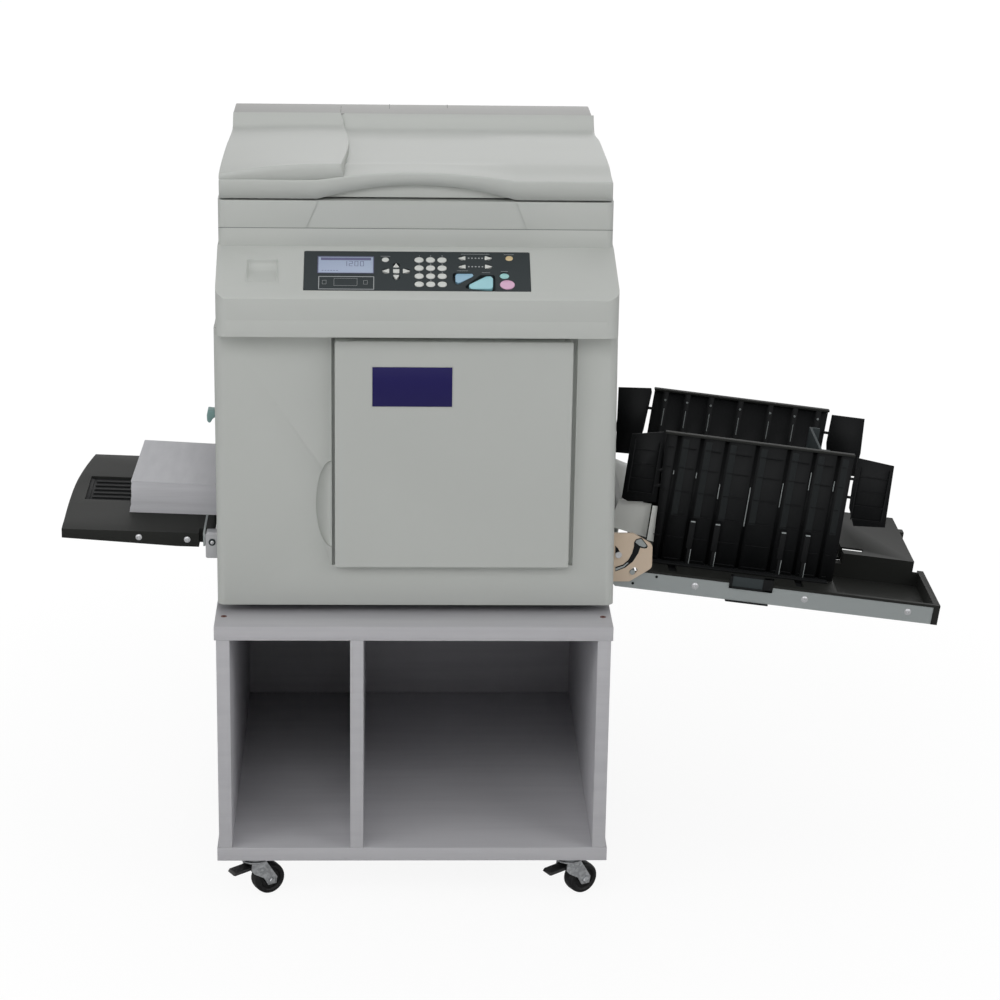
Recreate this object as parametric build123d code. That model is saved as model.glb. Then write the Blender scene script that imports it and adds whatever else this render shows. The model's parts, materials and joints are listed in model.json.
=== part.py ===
from build123d import *
import math
import os

# A digital duplicator on a castor stand: scanner on top, paper feed tray on the left,
# delivery tray with two fences on the right. Millimetres, +Z up. The pieces are modelled
# with X from the stand's middle, Y back from its front edge and Z up from the floor, and
# the last section moves them all so that the origin is the middle of the whole footprint.

# Fits and clearances
PIN_FIT = 0.05          # radial play of a pin or shaft in its bore
PART_GAP = 0.3          # play between pieces that stand apart but look joined
KEY_GAP = 0.35          # play of a key in its well
FENCE_PLAY = 0.3        # play under the fences and round their feet

# Castors
CASTOR_HEIGHT = 72.0
WHEEL_RADIUS = 25.0
WHEEL_WIDTH = 24.0
WHEEL_SIDE_PLAY = 1.0
CASTOR_TRAIL = 22.0
CASTOR_PLATE = 50.0
CASTOR_PLATE_THICK = 3.0
CASTOR_PLATE_CORNER = 6.0
RACEWAY_RADIUS = 20.0
RACEWAY_THICK = 5.0
KINGPIN_RADIUS = 5.0
KINGPIN_HEAD_RADIUS = 8.0
KINGPIN_HEAD_THICK = 3.0
FORK_SHEET = 2.5
FORK_TOP_RADIUS = 21.0
FORK_TOP_THICK = 3.7
CHEEK_HALF_TOP = 12.0
CHEEK_ROUND_AXLE = ((9.0, 4.0), (7.0, -7.0), (-7.0, -7.0), (-14.0, 6.0))
CHEEK_ROUND_PIVOT = ((-8.0, -7.0), (-14.0, 0.0))
AXLE_RADIUS = 4.0
CASTOR_SIDE_INSET = 56.0
CASTOR_END_INSET = 32.0
CASTOR_TURN = {"front_left": 30.0, "front_right": 30.0, "rear_left": -18.0, "rear_right": 52.0}
PEDAL_LENGTH = 36.0
PEDAL_WIDTH = 20.0
PEDAL_THICK = 5.0
PEDAL_PIVOT_DROP = 12.0
PEDAL_PIVOT_OFFSET = 3.0
PEDAL_HUB_RADIUS = 5.0
PEDAL_PIN_RADIUS = 2.0
PEDAL_NOSE = 3.0

# Stand
STAND_WIDTH = 600.0
STAND_DEPTH = 640.0
STAND_INNER_HEIGHT = 342.0
BOARD_THICK = 22.0
SIDE_THICK = 20.0
SIDE_INSET = 3.0
BACK_THICK = 18.0
DIVIDER_FROM_LEFT = 201.0
SCREW_HEAD_RADIUS = 5.0
SCREW_HEAD_THICK = 3.0
SCREW_RADIUS = 2.5
SCREW_LENGTH = 45.0
SCREW_END_INSET = 45.0

# Machine casing
FOOT_HEIGHT = 15.0
FOOT_RADIUS = 18.0
FOOT_TAPER = 3.0
FOOT_INSET = 55.0
BODY_WIDTH = 594.0
BODY_FRONT = 55.0
BODY_DEPTH = 600.0
BODY_HEIGHT = 431.0
BODY_CORNER = 12.0
WALL = 3.0
WRAP_DEPTH = 30.0
REAR_WRAP_DEPTH = 15.0
BASE_PAN_THICK = 6.0
BASE_PAN_LIP = 6.0

# Hood: skirt, then the upper housing with the sloping control face
HOOD_OVERHANG = 2.0
HOOD_FRONT = 15.0
HOOD_CORNER = 20.0
HOOD_BACK_SETBACK = 5.0
SKIRT_HEIGHT = 25.0
HOOD_FACE_HEIGHT = 35.0
SLOPE_RISE = 53.0
SLOPE_RUN = 92.0
SLOPE_SETBACK = 3.0
POCKET_FROM_LEFT = 51.0
POCKET_WIDTH = 47.0
POCKET_LOW = 30.0
POCKET_HIGH = 78.0
POCKET_DEPTH = 9.0

# Control panel, in X and in distance up the slope from its front edge
PANEL_LEFT = -164.0
PANEL_RIGHT = 167.0
PANEL_LOW = 13.5
PANEL_HIGH = 95.0
PANEL_THICK = 9.0
PANEL_PROUD = 0.5
PANEL_CORNER = 3.0
WINDOW_LEFT = -143.0
WINDOW_RIGHT = -63.0
WINDOW_LOW = 50.0
WINDOW_HIGH = 83.0
WINDOW_THICK = 2.0
KEY_TRAVEL = 1.2
KEY_PROUD = 2.2
KEY_RIM = 0.8
KEY_DEPTH = 4.5
NUMBER_KEY_SIZE = (13.5, 11.0)
NUMBER_KEY_COLUMNS = (4.2, 21.2, 38.2)
NUMBER_KEY_ROWS = (77.5, 60.5, 43.7, 27.0)
ARROW_KEY_RADIUS = 5.0
ARROW_KEY_PLACES = ((-29.0, 65.7), (-44.6, 53.6), (-29.0, 53.6), (-13.6, 53.6), (-29.0, 41.0))
SMALL_KEY_RADIUS = 4.2
SMALL_KEY_PLACES = ((-45.0, 77.3), (66.7, 81.7), (106.5, 81.9), (66.6, 63.9), (106.6, 64.1))
STOP_KEY_PLACE = (133.0, 26.7)
STOP_KEY_RADIUS = 10.0
TEST_KEY_PLACE = (128.6, 46.6)
TEST_KEY_RADIUS = 6.0
WAKE_KEY_PLACE = (136.4, 81.9)
WAKE_KEY_RADIUS = 5.0
MASTER_KEY_CORNERS = ((53.5, 50.5), (88.5, 50.5), (59.5, 25.5), (53.5, 34.0))
PRINT_KEY_CORNERS = ((94.0, 46.5), (115.0, 46.5), (115.0, 13.0), (68.0, 19.5))
BIG_KEY_CORNER = 3.5

# Front door and the recess round it
DOOR_FROM_RIGHT = 65.0
DOOR_WIDTH = 351.0
DOOR_HEIGHT = 353.0
DOOR_FROM_BODY_FOOT = 66.0
DOOR_PROUD = 17.0
DOOR_THICK = 22.0
DOOR_GAP_LEFT = 5.0
DOOR_GAP_RIGHT = 7.0
DOOR_GAP_BELOW = 2.0
DOOR_GAP_ABOVE = 3.0
DOOR_CORNER = 4.0
DOOR_RIM = 2.0
DOOR_BOSS_MARGIN = 3.0
RECESS_DEPTH = 10.0
RECESS_FLANGE = 16.0
DOOR_PIN_RADIUS = 2.0
DOOR_PIN_INSET = 7.0
DOOR_LUG_RADIUS = 4.0
DOOR_LUG_HEIGHT = 9.0
DOOR_BOSS_HEIGHT = 15.0
FINGER_WIDTH = 24.0
FINGER_HALF_HEIGHT = 68.0
FINGER_FROM_BODY_FOOT = 161.5
FINGER_DEPTH = 9.0

# Scanner and lid
SCANNER_WIDTH = 582.0
SCANNER_CORNER = 10.0
SCANNER_BASE_HEIGHT = 27.0
SCANNER_FRAME_HEIGHT = 41.0
GLASS_WIDTH = 450.0
GLASS_DEPTH = 320.0
GLASS_SETBACK = 50.0
GLASS_THICK = 4.0
GLASS_LEDGE = 8.0
HANDLE_PANEL_TOP = (-144.0, 147.0)
HANDLE_PANEL_LOW = (-162.0, 164.0)
HANDLE_PANEL_DEPTH = 2.0
CARRIAGE_WIDTH = 44.0
CARRIAGE_HEIGHT = 24.0
CARRIAGE_FROM_GLASS_LEFT = 12.0
CARRIAGE_GAP = 3.0
CARRIAGE_RAIL_WIDTH = 8.0
TROUGH_SIDE_WALL = 8.0
TROUGH_END_WALL = 15.0
TROUGH_DEPTH = 12.0
LID_GAP = 3.0
LID_SIDE_INSET = 2.0
LID_RIM = 28.0
LID_WALL = 3.0
LID_CROWN = 7.6
LID_SAG = 10.0
SIDE_COVER_WIDTH = 184.0
SIDE_COVER_RISE = 8.0
SIDE_COVER_FRONT_INSET = 4.0
RIDGE_DEPTH = 121.0
RIDGE_FRONT_RISE = 18.0
RIDGE_SLOPE_DEPTH = 27.0
RIDGE_RISE = 38.5
RIDGE_BACK_RISE = 37.0
RIDGE_BACK_SLOPE = 8.0
RIDGE_BACK_FALL = 12.0
PAD_LIFT_INSET = 40.0
PAD_LIFT_RISE = 14.0
PAD_THICK = 4.0
PAD_MARGIN = 6.0
LID_PIN_RADIUS = 3.0
LID_PIN_BEHIND = 5.0
LID_PIN_RISE = 9.0
LID_POST_X = 190.0
LID_POST_WIDTH = 20.0
LID_EAR_RADIUS = 6.0
LID_EAR_WIDTH = 18.0

# Inner frame
FRAME_SHEET = 3.0
FRAME_SIDE_GAP = 22.0
FRAME_SETBACK = 41.0
FRAME_DEPTH = 404.0
TIE_RADIUS = 8.0
TIE_X = 250.0
TIE_DROP = 30.0
TIE_RISE_LEFT = 25.0
TIE_RISE_RIGHT = 60.0
FRAME_BELOW_TOP = 5.0
SHAFT_BEYOND_FRAME = 4.0
DRUM_RADIUS = 90.0
DRUM_WALL = 4.0
DRUM_FROM_DOOR_LEFT = 175.0
DRUM_RISE = 275.0
DRUM_END_GAP = 8.0
DRUM_SHAFT_RADIUS = 10.0
CLAMP_WIDTH = 12.0
CLAMP_INSET = 20.0
CLAMP_THICK = 4.0
CLAMP_BELOW_SKIN = 2.5
CARRIER_PLAY = 1.5
CARRIER_SIDE_MARGIN = 15.0
CARRIER_FOOT_MARGIN = 14.0
GRIP_LENGTH = 90.0
GRIP_HEIGHT = 16.0
GRIP_THICK = 8.0
GRIP_REACH = 24.0
GRIP_DROP = 60.0
GRIP_STEM_WIDTH = 12.0
GRIP_STEM_INSET = 7.0
PRESS_RADIUS = 25.0
PRESS_SHAFT_RADIUS = 8.0
NIP_GAP = 0.3

# Feed side
FEED_TABLE_RISE = 102.0
FEED_PLATE_THICK = 5.0
FEED_TABLE_REACH_IN = 147.0
FEED_TABLE_REACH_OUT = 5.0
FEED_ARM_REACH = 15.0
FEED_ARM_DEPTH = 48.0
FEED_ARM_WIDTH = 21.0
FEED_ARM_CORNER = 3.0
FEED_ARM_LAP = 30.0
FEED_FROM_FRAME = 16.0
FEED_TABLE_DEPTH = 349.0
FEED_TAB_FROM_SIDE = 37.0
FEED_TAB_WIDTH = 40.0
FEED_TAB_REACH = 1.0
FEED_LIFT = 40.0
FEED_PIN_RADIUS = 3.0
FEED_PIN_FROM_ARM_END = 4.0
FEED_PIN_DROP = 9.0
FEED_PIN_LENGTH = 16.0
FEED_TRAY_GAP = 4.0
FEED_TRAY_LENGTH = 206.0
FEED_TRAY_CUT_BACK = 6.0
FEED_TRAY_BULGE = 13.0
FEED_TRAY_OVERHANG = 19.0
FEED_TRAY_ROOT_THICK = 22.0
FEED_TRAY_TIP_THICK = 13.0
FEED_TRAY_ROOT_LENGTH = 40.0
GRILLE_FROM_NEAR = 152.0
GRILLE_DEPTH_Y = 114.0
GRILLE_FROM_INNER = 24.0
GRILLE_LENGTH = 160.0
GRILLE_BORDER = 10.0
GRILLE_DEPTH = 4.0
GRILLE_SLOTS = 6
GRILLE_SLOT_WIDTH = 9.0
PAPER_WIDTH = 210.0
PAPER_LENGTH = 194.0
PAPER_THICK = 59.0
PAPER_REACH_OUT = 137.0
PAPER_FROM_NEAR = 66.0
FEED_ROLLER_RADIUS = 18.0
FEED_ROLLER_LENGTH = 60.0
FEED_SHAFT_RADIUS = 5.0
FEED_OPENING_RISE = 227.0
FEED_OPENING_MARGIN = 5.0
LEVER_SETBACK = 73.0
LEVER_RISE = 279.0
LEVER_HUB_RADIUS = 13.0
LEVER_HUB_WIDTH = 14.0
LEVER_SHAFT_RADIUS = 5.0
LEVER_REACH = 34.0
LEVER_ARM_BELOW = 4.0
LEVER_CORNER = 5.0
LEVER_SHAFT_REACH = 12.0

# Delivery side, in distance along the tray, Y, and height above the tray's pivot line
TRAY_TILT = 7.2
TRAY_PIVOT_OUT = 16.0
TRAY_PIVOT_RISE = 63.0
TRAY_PIN_RADIUS = 5.0
RAIL_SETBACK = 60.0
RAIL_SPACING = 355.0
RAIL_SHEET = 2.0
RAIL_TOP = -26.0
RAIL_HEIGHT = 28.0
RAIL_START = 3.0
RAIL_END = 500.0
RAIL_EAR = 12.0
RAIL_EAR_CUT = 8.0
RAIL_EAR_LAP = 10.0
RAIL_LIP = 12.0
CROSS_BAR_FROM_START = 55.0
CROSS_BAR_FROM_END = 40.0
CROSS_BAR_WIDTH = 20.0
RAIL_NOTCH = (182.0, 245.0)
RAIL_NOTCH_DEPTH = 9.0
BED_TOP = -22.0
BED_SHEET = 4.0
BED_START = 33.0
BED_END = 510.0
BED_FAR_END = 490.0
BED_OVERHANG = 1.0
BED_WALL = 3.0
BED_SKIRT = 14.0
POCKET_START = 348.0
POCKET_FLOOR = -45.0
PLATFORM_START = 375.0
PLATFORM_NEAR = 258.0
PLATFORM_TOP = -4.0
END_BLOCK_FAR = 270.0
END_CAP_NEAR = 455.0
FENCE_FROM_RAIL = 35.0
FENCE_DEPTH = 22.0
FENCE_SPACING = 220.0
FENCE_START = 41.0
FENCE_END = 341.0
FENCE_TOP = 188.0
FENCE_SHEET = 4.0
FENCE_RIB = 5.0
FENCE_RIB_COUNT = 8
WING_BOTTOM = 76.0
WING_TOP = 184.0
WING_START = -2.0
WING_END = 409.0
WING_LINK = 4.0
WING_LINK_HEIGHT = 14.0
WING_LINK_INSET = 8.0
FENCE_CROWN_INSET = 8.0
FENCE_FOOT = 12.0
FENCE_FOOT_PLACES = (90.0, 290.0)
FENCE_WIDER = 30.0
FENCE_NARROWER = 45.0
STOP_START = 300.0
STOP_THICK = 17.0
STOP_TOP = 172.0
STOP_WIDTH = 120.0
STOP_CLEARANCE = 2.0
STOP_TOE = 12.0
STOP_TOE_HEIGHT = 30.0
STOP_CROWN = 20.0
STOP_OUT = 95.0
STOP_IN = 120.0
BRACKET_THICK = 5.0
BRACKET_GAP = 2.0
BRACKET_REACH = 52.0
BRACKET_FLANGE = 20.0
BRACKET_TIP = 16.0
BRACKET_BELOW = 44.0
BRACKET_ABOVE = 34.0
BRACKET_FOOT_LENGTH = 34.0
BRACKET_FOOT_CUT = 22.0
BRACKET_TOP_LENGTH = 38.0
BRACKET_TOP_CUT = 18.0
BRACKET_CORNER = 10.0
SLOT_RADIUS = 36.0
SLOT_STUD_RADIUS = 4.0
SLOT_STUD_ANGLE = -52.0
DELIVERY_LOW_RISE = 87.0
DELIVERY_HIGH_RISE = 227.0

# Mains inlet in the rear cover
INLET_FROM_LEFT = 97.0
INLET_RISE = 47.0
INLET_WIDTH = 28.0
INLET_HEIGHT = 21.0
INLET_DEPTH = 20.0
INLET_FLANGE = 4.0
INLET_FLANGE_THICK = 1.5
INLET_PIN_PLACES = ((-7.0, -1.5), (0.0, 2.5), (7.0, -1.5))
INLET_PIN_SETBACK = 3.0
INLET_WALL = 2.5
VENT_COUNT = 9
VENT_PITCH = 14.0
VENT_WIDTH = 150.0
VENT_HEIGHT = 5.0
VENT_FROM_TOP = 60.0

# Places worked out from the sizes above
BOTTOM_BOARD_TOP = CASTOR_HEIGHT + BOARD_THICK
STAND_CEILING = BOTTOM_BOARD_TOP + STAND_INNER_HEIGHT
STAND_TOP = STAND_CEILING + BOARD_THICK
BODY_FOOT = STAND_TOP + FOOT_HEIGHT
BODY_TOP = BODY_FOOT + BODY_HEIGHT
HOOD_SEAM = BODY_TOP + SKIRT_HEIGHT
HOOD_EDGE = HOOD_SEAM + HOOD_FACE_HEIGHT
HOUSING_TOP = HOOD_EDGE + SLOPE_RISE
SCANNER_SEAM = HOUSING_TOP + SCANNER_BASE_HEIGHT
GLASS_TOP = SCANNER_SEAM + SCANNER_FRAME_HEIGHT
LID_FOOT = GLASS_TOP + LID_GAP
HALF_BODY = BODY_WIDTH / 2
HALF_HOOD = HALF_BODY + HOOD_OVERHANG
HALF_SCANNER = SCANNER_WIDTH / 2
HALF_LID = HALF_SCANNER - LID_SIDE_INSET
BODY_BACK = BODY_FRONT + BODY_DEPTH
HOOD_BACK = BODY_BACK - HOOD_BACK_SETBACK
SCANNER_FRONT = HOOD_FRONT + SLOPE_SETBACK + SLOPE_RUN
SCANNER_BACK = HOOD_BACK
LID_BACK = SCANNER_BACK - LID_PIN_BEHIND
RIDGE_FRONT = LID_BACK - RIDGE_DEPTH
POCKET_LEFT = POCKET_FROM_LEFT - HALF_HOOD
POCKET_RIGHT = POCKET_LEFT + POCKET_WIDTH
GLASS_LEFT = -GLASS_WIDTH / 2
GLASS_RIGHT = GLASS_WIDTH / 2
GLASS_FRONT = SCANNER_FRONT + GLASS_SETBACK
GLASS_BACK = GLASS_FRONT + GLASS_DEPTH
SIDE_OUTER = STAND_WIDTH / 2 - SIDE_INSET
SIDE_INNER = SIDE_OUTER - SIDE_THICK
DOOR_RIGHT = HALF_BODY - DOOR_FROM_RIGHT
DOOR_LEFT = DOOR_RIGHT - DOOR_WIDTH
DOOR_FRONT = BODY_FRONT - DOOR_PROUD
DOOR_BACK = DOOR_FRONT + DOOR_THICK
DOOR_FOOT = BODY_FOOT + DOOR_FROM_BODY_FOOT
DOOR_TOP = DOOR_FOOT + DOOR_HEIGHT
DOOR_PIN_X = DOOR_RIGHT - DOOR_PIN_INSET
DOOR_PIN_Y = DOOR_FRONT + DOOR_PIN_INSET
SLOPE_ANGLE = math.degrees(math.atan2(SLOPE_RISE, SLOPE_RUN))
LID_PIN_Y = SCANNER_BACK
LID_PIN_Z = GLASS_TOP + LID_PIN_RISE
FRAME_HALF_WIDTH = HALF_BODY - FRAME_SIDE_GAP
FRAME_FRONT = BODY_FRONT + FRAME_SETBACK
FRAME_BACK = FRAME_FRONT + FRAME_DEPTH
DRUM_X = DOOR_LEFT + DRUM_FROM_DOOR_LEFT
DRUM_Z = BODY_FOOT + DRUM_RISE
CARRIER_HALF_WIDTH = DRUM_RADIUS + CARRIER_SIDE_MARGIN
CARRIER_HALF_HEIGHT = DRUM_RADIUS + CARRIER_FOOT_MARGIN
WHEEL_Z = WHEEL_RADIUS
CHEEK_INNER = WHEEL_WIDTH / 2 + WHEEL_SIDE_PLAY
CHEEK_OUTER = CHEEK_INNER + FORK_SHEET
FORK_TOP = CASTOR_HEIGHT - CASTOR_PLATE_THICK - RACEWAY_THICK - PART_GAP
PEDAL_PIVOT_Z = FORK_TOP - FORK_TOP_THICK - PEDAL_PIVOT_DROP
TRAY_TOP = BODY_FOOT + FEED_TABLE_RISE
FEED_TABLE_INNER = FEED_TABLE_REACH_IN - HALF_BODY
FEED_TABLE_EDGE = -HALF_BODY - FEED_TABLE_REACH_OUT
FEED_ARM_OUTER = FEED_TABLE_EDGE - FEED_ARM_REACH
FEED_NEAR = FRAME_FRONT + FEED_FROM_FRAME
FEED_FAR = FEED_NEAR + FEED_TABLE_DEPTH
FEED_TAB_LEFT = FEED_TAB_FROM_SIDE - HALF_BODY
FEED_TAB_RIGHT = FEED_TAB_LEFT + FEED_TAB_WIDTH
FEED_PIN_X = FEED_ARM_OUTER + FEED_PIN_FROM_ARM_END
FEED_PIN_Z = TRAY_TOP - FEED_PIN_DROP
FEED_TRAY_INNER = FEED_ARM_OUTER - FEED_TRAY_GAP
FEED_TRAY_OUTER = FEED_TRAY_INNER - FEED_TRAY_LENGTH
FEED_TRAY_FAR = FEED_FAR + FEED_TRAY_OVERHANG
GRILLE_NEAR = FEED_NEAR + GRILLE_FROM_NEAR
GRILLE_FAR = GRILLE_NEAR + GRILLE_DEPTH_Y
GRILLE_INNER = FEED_TRAY_INNER - GRILLE_FROM_INNER
GRILLE_OUTER = GRILLE_INNER - GRILLE_LENGTH
PAPER_OUTER = -HALF_BODY - PAPER_REACH_OUT
PAPER_MIDDLE = FEED_NEAR + PAPER_FROM_NEAR + PAPER_WIDTH / 2
PAPER_INNER = PAPER_OUTER + PAPER_LENGTH
PAPER_FLOOR = TRAY_TOP + PART_GAP
PAPER_TOP = PAPER_FLOOR + PAPER_THICK
FEED_ROLLER_Z = PAPER_TOP + PART_GAP + FEED_ROLLER_RADIUS
FEED_ROLLER_X = PAPER_INNER - FEED_ROLLER_RADIUS
PRESS_Z = DRUM_Z - DRUM_RADIUS - NIP_GAP - PRESS_RADIUS
FEED_OPENING_TOP = BODY_FOOT + FEED_OPENING_RISE
LEVER_Y = BODY_FRONT + LEVER_SETBACK
LEVER_Z = BODY_FOOT + LEVER_RISE
TRAY_PIVOT_X = HALF_BODY + TRAY_PIVOT_OUT
TRAY_PIVOT_Z = BODY_FOOT + TRAY_PIVOT_RISE
RAIL_NEAR = BODY_FRONT + RAIL_SETBACK
RAIL_FAR = RAIL_NEAR + RAIL_SPACING
FENCE_NEAR_OUTER = RAIL_NEAR + FENCE_FROM_RAIL
FENCE_NEAR_INNER = FENCE_NEAR_OUTER + FENCE_DEPTH
FENCE_FAR_INNER = FENCE_NEAR_INNER + FENCE_SPACING
FENCE_FAR_OUTER = FENCE_FAR_INNER + FENCE_DEPTH
DELIVERY_LOW = BODY_FOOT + DELIVERY_LOW_RISE
DELIVERY_HIGH = BODY_FOOT + DELIVERY_HIGH_RISE
INLET_X = INLET_FROM_LEFT - HALF_BODY
INLET_Z = BODY_FOOT + INLET_RISE

parts_made = {}


def block(x0, x1, y0, y1, z0, z1):
    """A box between two corners."""
    middle = Pos((x0 + x1) / 2, (y0 + y1) / 2, (z0 + z1) / 2)
    return middle * Box(abs(x1 - x0), abs(y1 - y0), abs(z1 - z0))


def rod_x(x0, x1, y, z, radius):
    return Pos((x0 + x1) / 2, y, z) * Rot(0, 90, 0) * Cylinder(radius, abs(x1 - x0))


def rod_y(x, y0, y1, z, radius):
    return Pos(x, (y0 + y1) / 2, z) * Rot(90, 0, 0) * Cylinder(radius, abs(y1 - y0))


def rod_z(x, y, z0, z1, radius):
    return Pos(x, y, (z0 + z1) / 2) * Cylinder(radius, abs(z1 - z0))


def slab_xz(points, y0, y1):
    """An outline in X and Z, given thickness along Y."""
    face = make_face(Polyline(*[(x, 0, z) for x, z in points], close=True))
    return Pos(0, y0, 0) * extrude(face, amount=y1 - y0, dir=(0, 1, 0))


def slab_yz(points, x0, x1):
    """An outline in Y and Z, given thickness along X."""
    face = make_face(Polyline(*[(0, y, z) for y, z in points], close=True))
    return Pos(x0, 0, 0) * extrude(face, amount=x1 - x0, dir=(1, 0, 0))


def group(*solids):
    """Separate solids that share one node."""
    return Compound([s for piece in solids for s in piece.solids()])


def on_slope(piece):
    """Moves a piece from the flat X and distance frame onto the control slope."""
    edge = Pos(0, HOOD_FRONT + SLOPE_SETBACK, HOOD_EDGE)
    return edge * Rot(SLOPE_ANGLE, 0, 0) * piece


def on_tray(piece):
    """Moves a piece from the level tray frame to the sloping tray's place."""
    return Pos(TRAY_PIVOT_X, 0, TRAY_PIVOT_Z) * Rot(0, TRAY_TILT, 0) * piece


# Castors

def castor_centres():
    side = STAND_WIDTH / 2 - CASTOR_SIDE_INSET
    near = CASTOR_END_INSET
    far = STAND_DEPTH - CASTOR_END_INSET
    return {"front_left": (-side, near), "front_right": (side, near),
            "rear_left": (-side, far), "rear_right": (side, far)}


def castor_plate():
    half = CASTOR_PLATE / 2
    under = CASTOR_HEIGHT - CASTOR_PLATE_THICK
    plate = block(-half, half, -half, half, under, CASTOR_HEIGHT)
    plate = fillet(plate.edges().filter_by(Axis.Z), CASTOR_PLATE_CORNER)
    raceway = rod_z(0, 0, under - RACEWAY_THICK, under, RACEWAY_RADIUS)
    pin_foot = FORK_TOP - FORK_TOP_THICK - PART_GAP - KINGPIN_HEAD_THICK
    pin = rod_z(0, 0, pin_foot, under, KINGPIN_RADIUS)
    head = rod_z(0, 0, pin_foot, pin_foot + KINGPIN_HEAD_THICK, KINGPIN_HEAD_RADIUS)
    return plate + raceway + pin + head


def castor_fork(has_pedal):
    under = FORK_TOP - FORK_TOP_THICK
    top = rod_z(0, 0, under, FORK_TOP, FORK_TOP_RADIUS)
    cheek_outline = [(-CHEEK_HALF_TOP, under), (CHEEK_HALF_TOP, under)]
    cheek_outline += [(CASTOR_TRAIL + dx, WHEEL_Z + dz) for dx, dz in CHEEK_ROUND_AXLE]
    cheek_outline += [(dx, PEDAL_PIVOT_Z + dz) for dx, dz in CHEEK_ROUND_PIVOT]
    fork = top
    for side in (-1, 1):
        cheek = slab_xz(cheek_outline, CHEEK_INNER, CHEEK_OUTER)
        if side < 0:
            cheek = mirror(cheek, Plane.XZ)
        fork += cheek
    fork -= rod_z(0, 0, under - 1, FORK_TOP + 1, KINGPIN_RADIUS + PIN_FIT)
    bore = rod_y(CASTOR_TRAIL, -CHEEK_OUTER - 1, CHEEK_OUTER + 1, WHEEL_Z, AXLE_RADIUS)
    axle = rod_y(CASTOR_TRAIL, -CHEEK_OUTER - 2, CHEEK_OUTER + 2, WHEEL_Z, AXLE_RADIUS)
    fork -= bore
    if not has_pedal:
        return group(fork, axle)
    pin = rod_y(-PEDAL_PIVOT_OFFSET, -CHEEK_OUTER - 1, CHEEK_OUTER + 1, PEDAL_PIVOT_Z, PEDAL_PIN_RADIUS)
    fork -= pin
    return group(fork, axle, pin)


def castor_wheel():
    half = WHEEL_WIDTH / 2
    tread = rod_y(CASTOR_TRAIL, -half, half, WHEEL_Z, WHEEL_RADIUS)
    tread = fillet(tread.edges().filter_by(GeomType.CIRCLE), 5)
    dish = rod_y(CASTOR_TRAIL, half - 3, half + 1, WHEEL_Z, WHEEL_RADIUS - 8)
    dish += rod_y(CASTOR_TRAIL, -half - 1, 3 - half, WHEEL_Z, WHEEL_RADIUS - 8)
    hub = rod_y(CASTOR_TRAIL, -half, half, WHEEL_Z, AXLE_RADIUS + 5)
    bore = rod_y(CASTOR_TRAIL, -half - 1, half + 1, WHEEL_Z, AXLE_RADIUS + PIN_FIT)
    return tread - dish + hub - bore


def brake_pedal():
    x0 = -PEDAL_PIVOT_OFFSET
    half = PEDAL_WIDTH / 2
    hub = rod_y(x0, -half, half, PEDAL_PIVOT_Z, PEDAL_HUB_RADIUS)
    tip = x0 - PEDAL_LENGTH
    outline = [(x0, PEDAL_PIVOT_Z + PEDAL_HUB_RADIUS), (tip, PEDAL_PIVOT_Z + 1),
               (tip - PEDAL_NOSE, PEDAL_PIVOT_Z - PEDAL_NOSE), (tip, PEDAL_PIVOT_Z + 1 - PEDAL_THICK),
               (x0, PEDAL_PIVOT_Z + PEDAL_HUB_RADIUS - PEDAL_THICK)]
    plate = slab_xz(outline, -half, half)
    bore = rod_y(x0, -half - 1, half + 1, PEDAL_PIVOT_Z, PEDAL_PIN_RADIUS + PIN_FIT)
    return hub + plate - bore


def make_castors():
    plates = []
    for name, (x, y) in castor_centres().items():
        place = Pos(x, y, 0) * Rot(0, 0, CASTOR_TURN[name])
        plates.append(Pos(x, y, 0) * castor_plate())
        is_front = name.startswith("front")
        parts_made["castor_fork_" + name] = place * castor_fork(is_front)
        parts_made["castor_wheel_" + name] = place * castor_wheel()
        if is_front:
            parts_made["brake_pedal_" + name.split("_")[1]] = place * brake_pedal()
    parts_made["castor_plates"] = group(*plates)


# Stand

def screw_places():
    x = (SIDE_OUTER + SIDE_INNER) / 2
    for side in (-1, 1):
        for y in (SCREW_END_INSET, STAND_DEPTH - SCREW_END_INSET):
            yield side * x, y


def make_stand():
    half = STAND_WIDTH / 2
    inner_depth = STAND_DEPTH - BACK_THICK
    bottom = block(-half, half, 0, STAND_DEPTH, CASTOR_HEIGHT, BOTTOM_BOARD_TOP)
    top = block(-half, half, 0, STAND_DEPTH, STAND_CEILING, STAND_TOP)
    left = block(-SIDE_OUTER, -SIDE_INNER, 0, STAND_DEPTH, BOTTOM_BOARD_TOP, STAND_CEILING)
    right = block(SIDE_INNER, SIDE_OUTER, 0, STAND_DEPTH, BOTTOM_BOARD_TOP, STAND_CEILING)
    divider_x = DIVIDER_FROM_LEFT - SIDE_OUTER
    divider = block(divider_x, divider_x + SIDE_THICK, 0, inner_depth, BOTTOM_BOARD_TOP, STAND_CEILING)
    back = block(-SIDE_INNER, SIDE_INNER, inner_depth, STAND_DEPTH, BOTTOM_BOARD_TOP, STAND_CEILING)
    screws = []
    for x, y in screw_places():
        head = rod_z(x, y, STAND_TOP - SCREW_HEAD_THICK, STAND_TOP, SCREW_HEAD_RADIUS)
        shank = rod_z(x, y, STAND_TOP - SCREW_LENGTH, STAND_TOP - SCREW_HEAD_THICK, SCREW_RADIUS)
        screw = head + shank
        top -= screw
        left -= screw
        right -= screw
        screws.append(screw)
    parts_made["stand_bottom"] = bottom
    parts_made["stand_top"] = top
    parts_made["stand_left_side"] = left
    parts_made["stand_right_side"] = right
    parts_made["stand_divider"] = divider
    parts_made["stand_back"] = back
    parts_made["stand_screws"] = group(*screws)


# Casing

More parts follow.
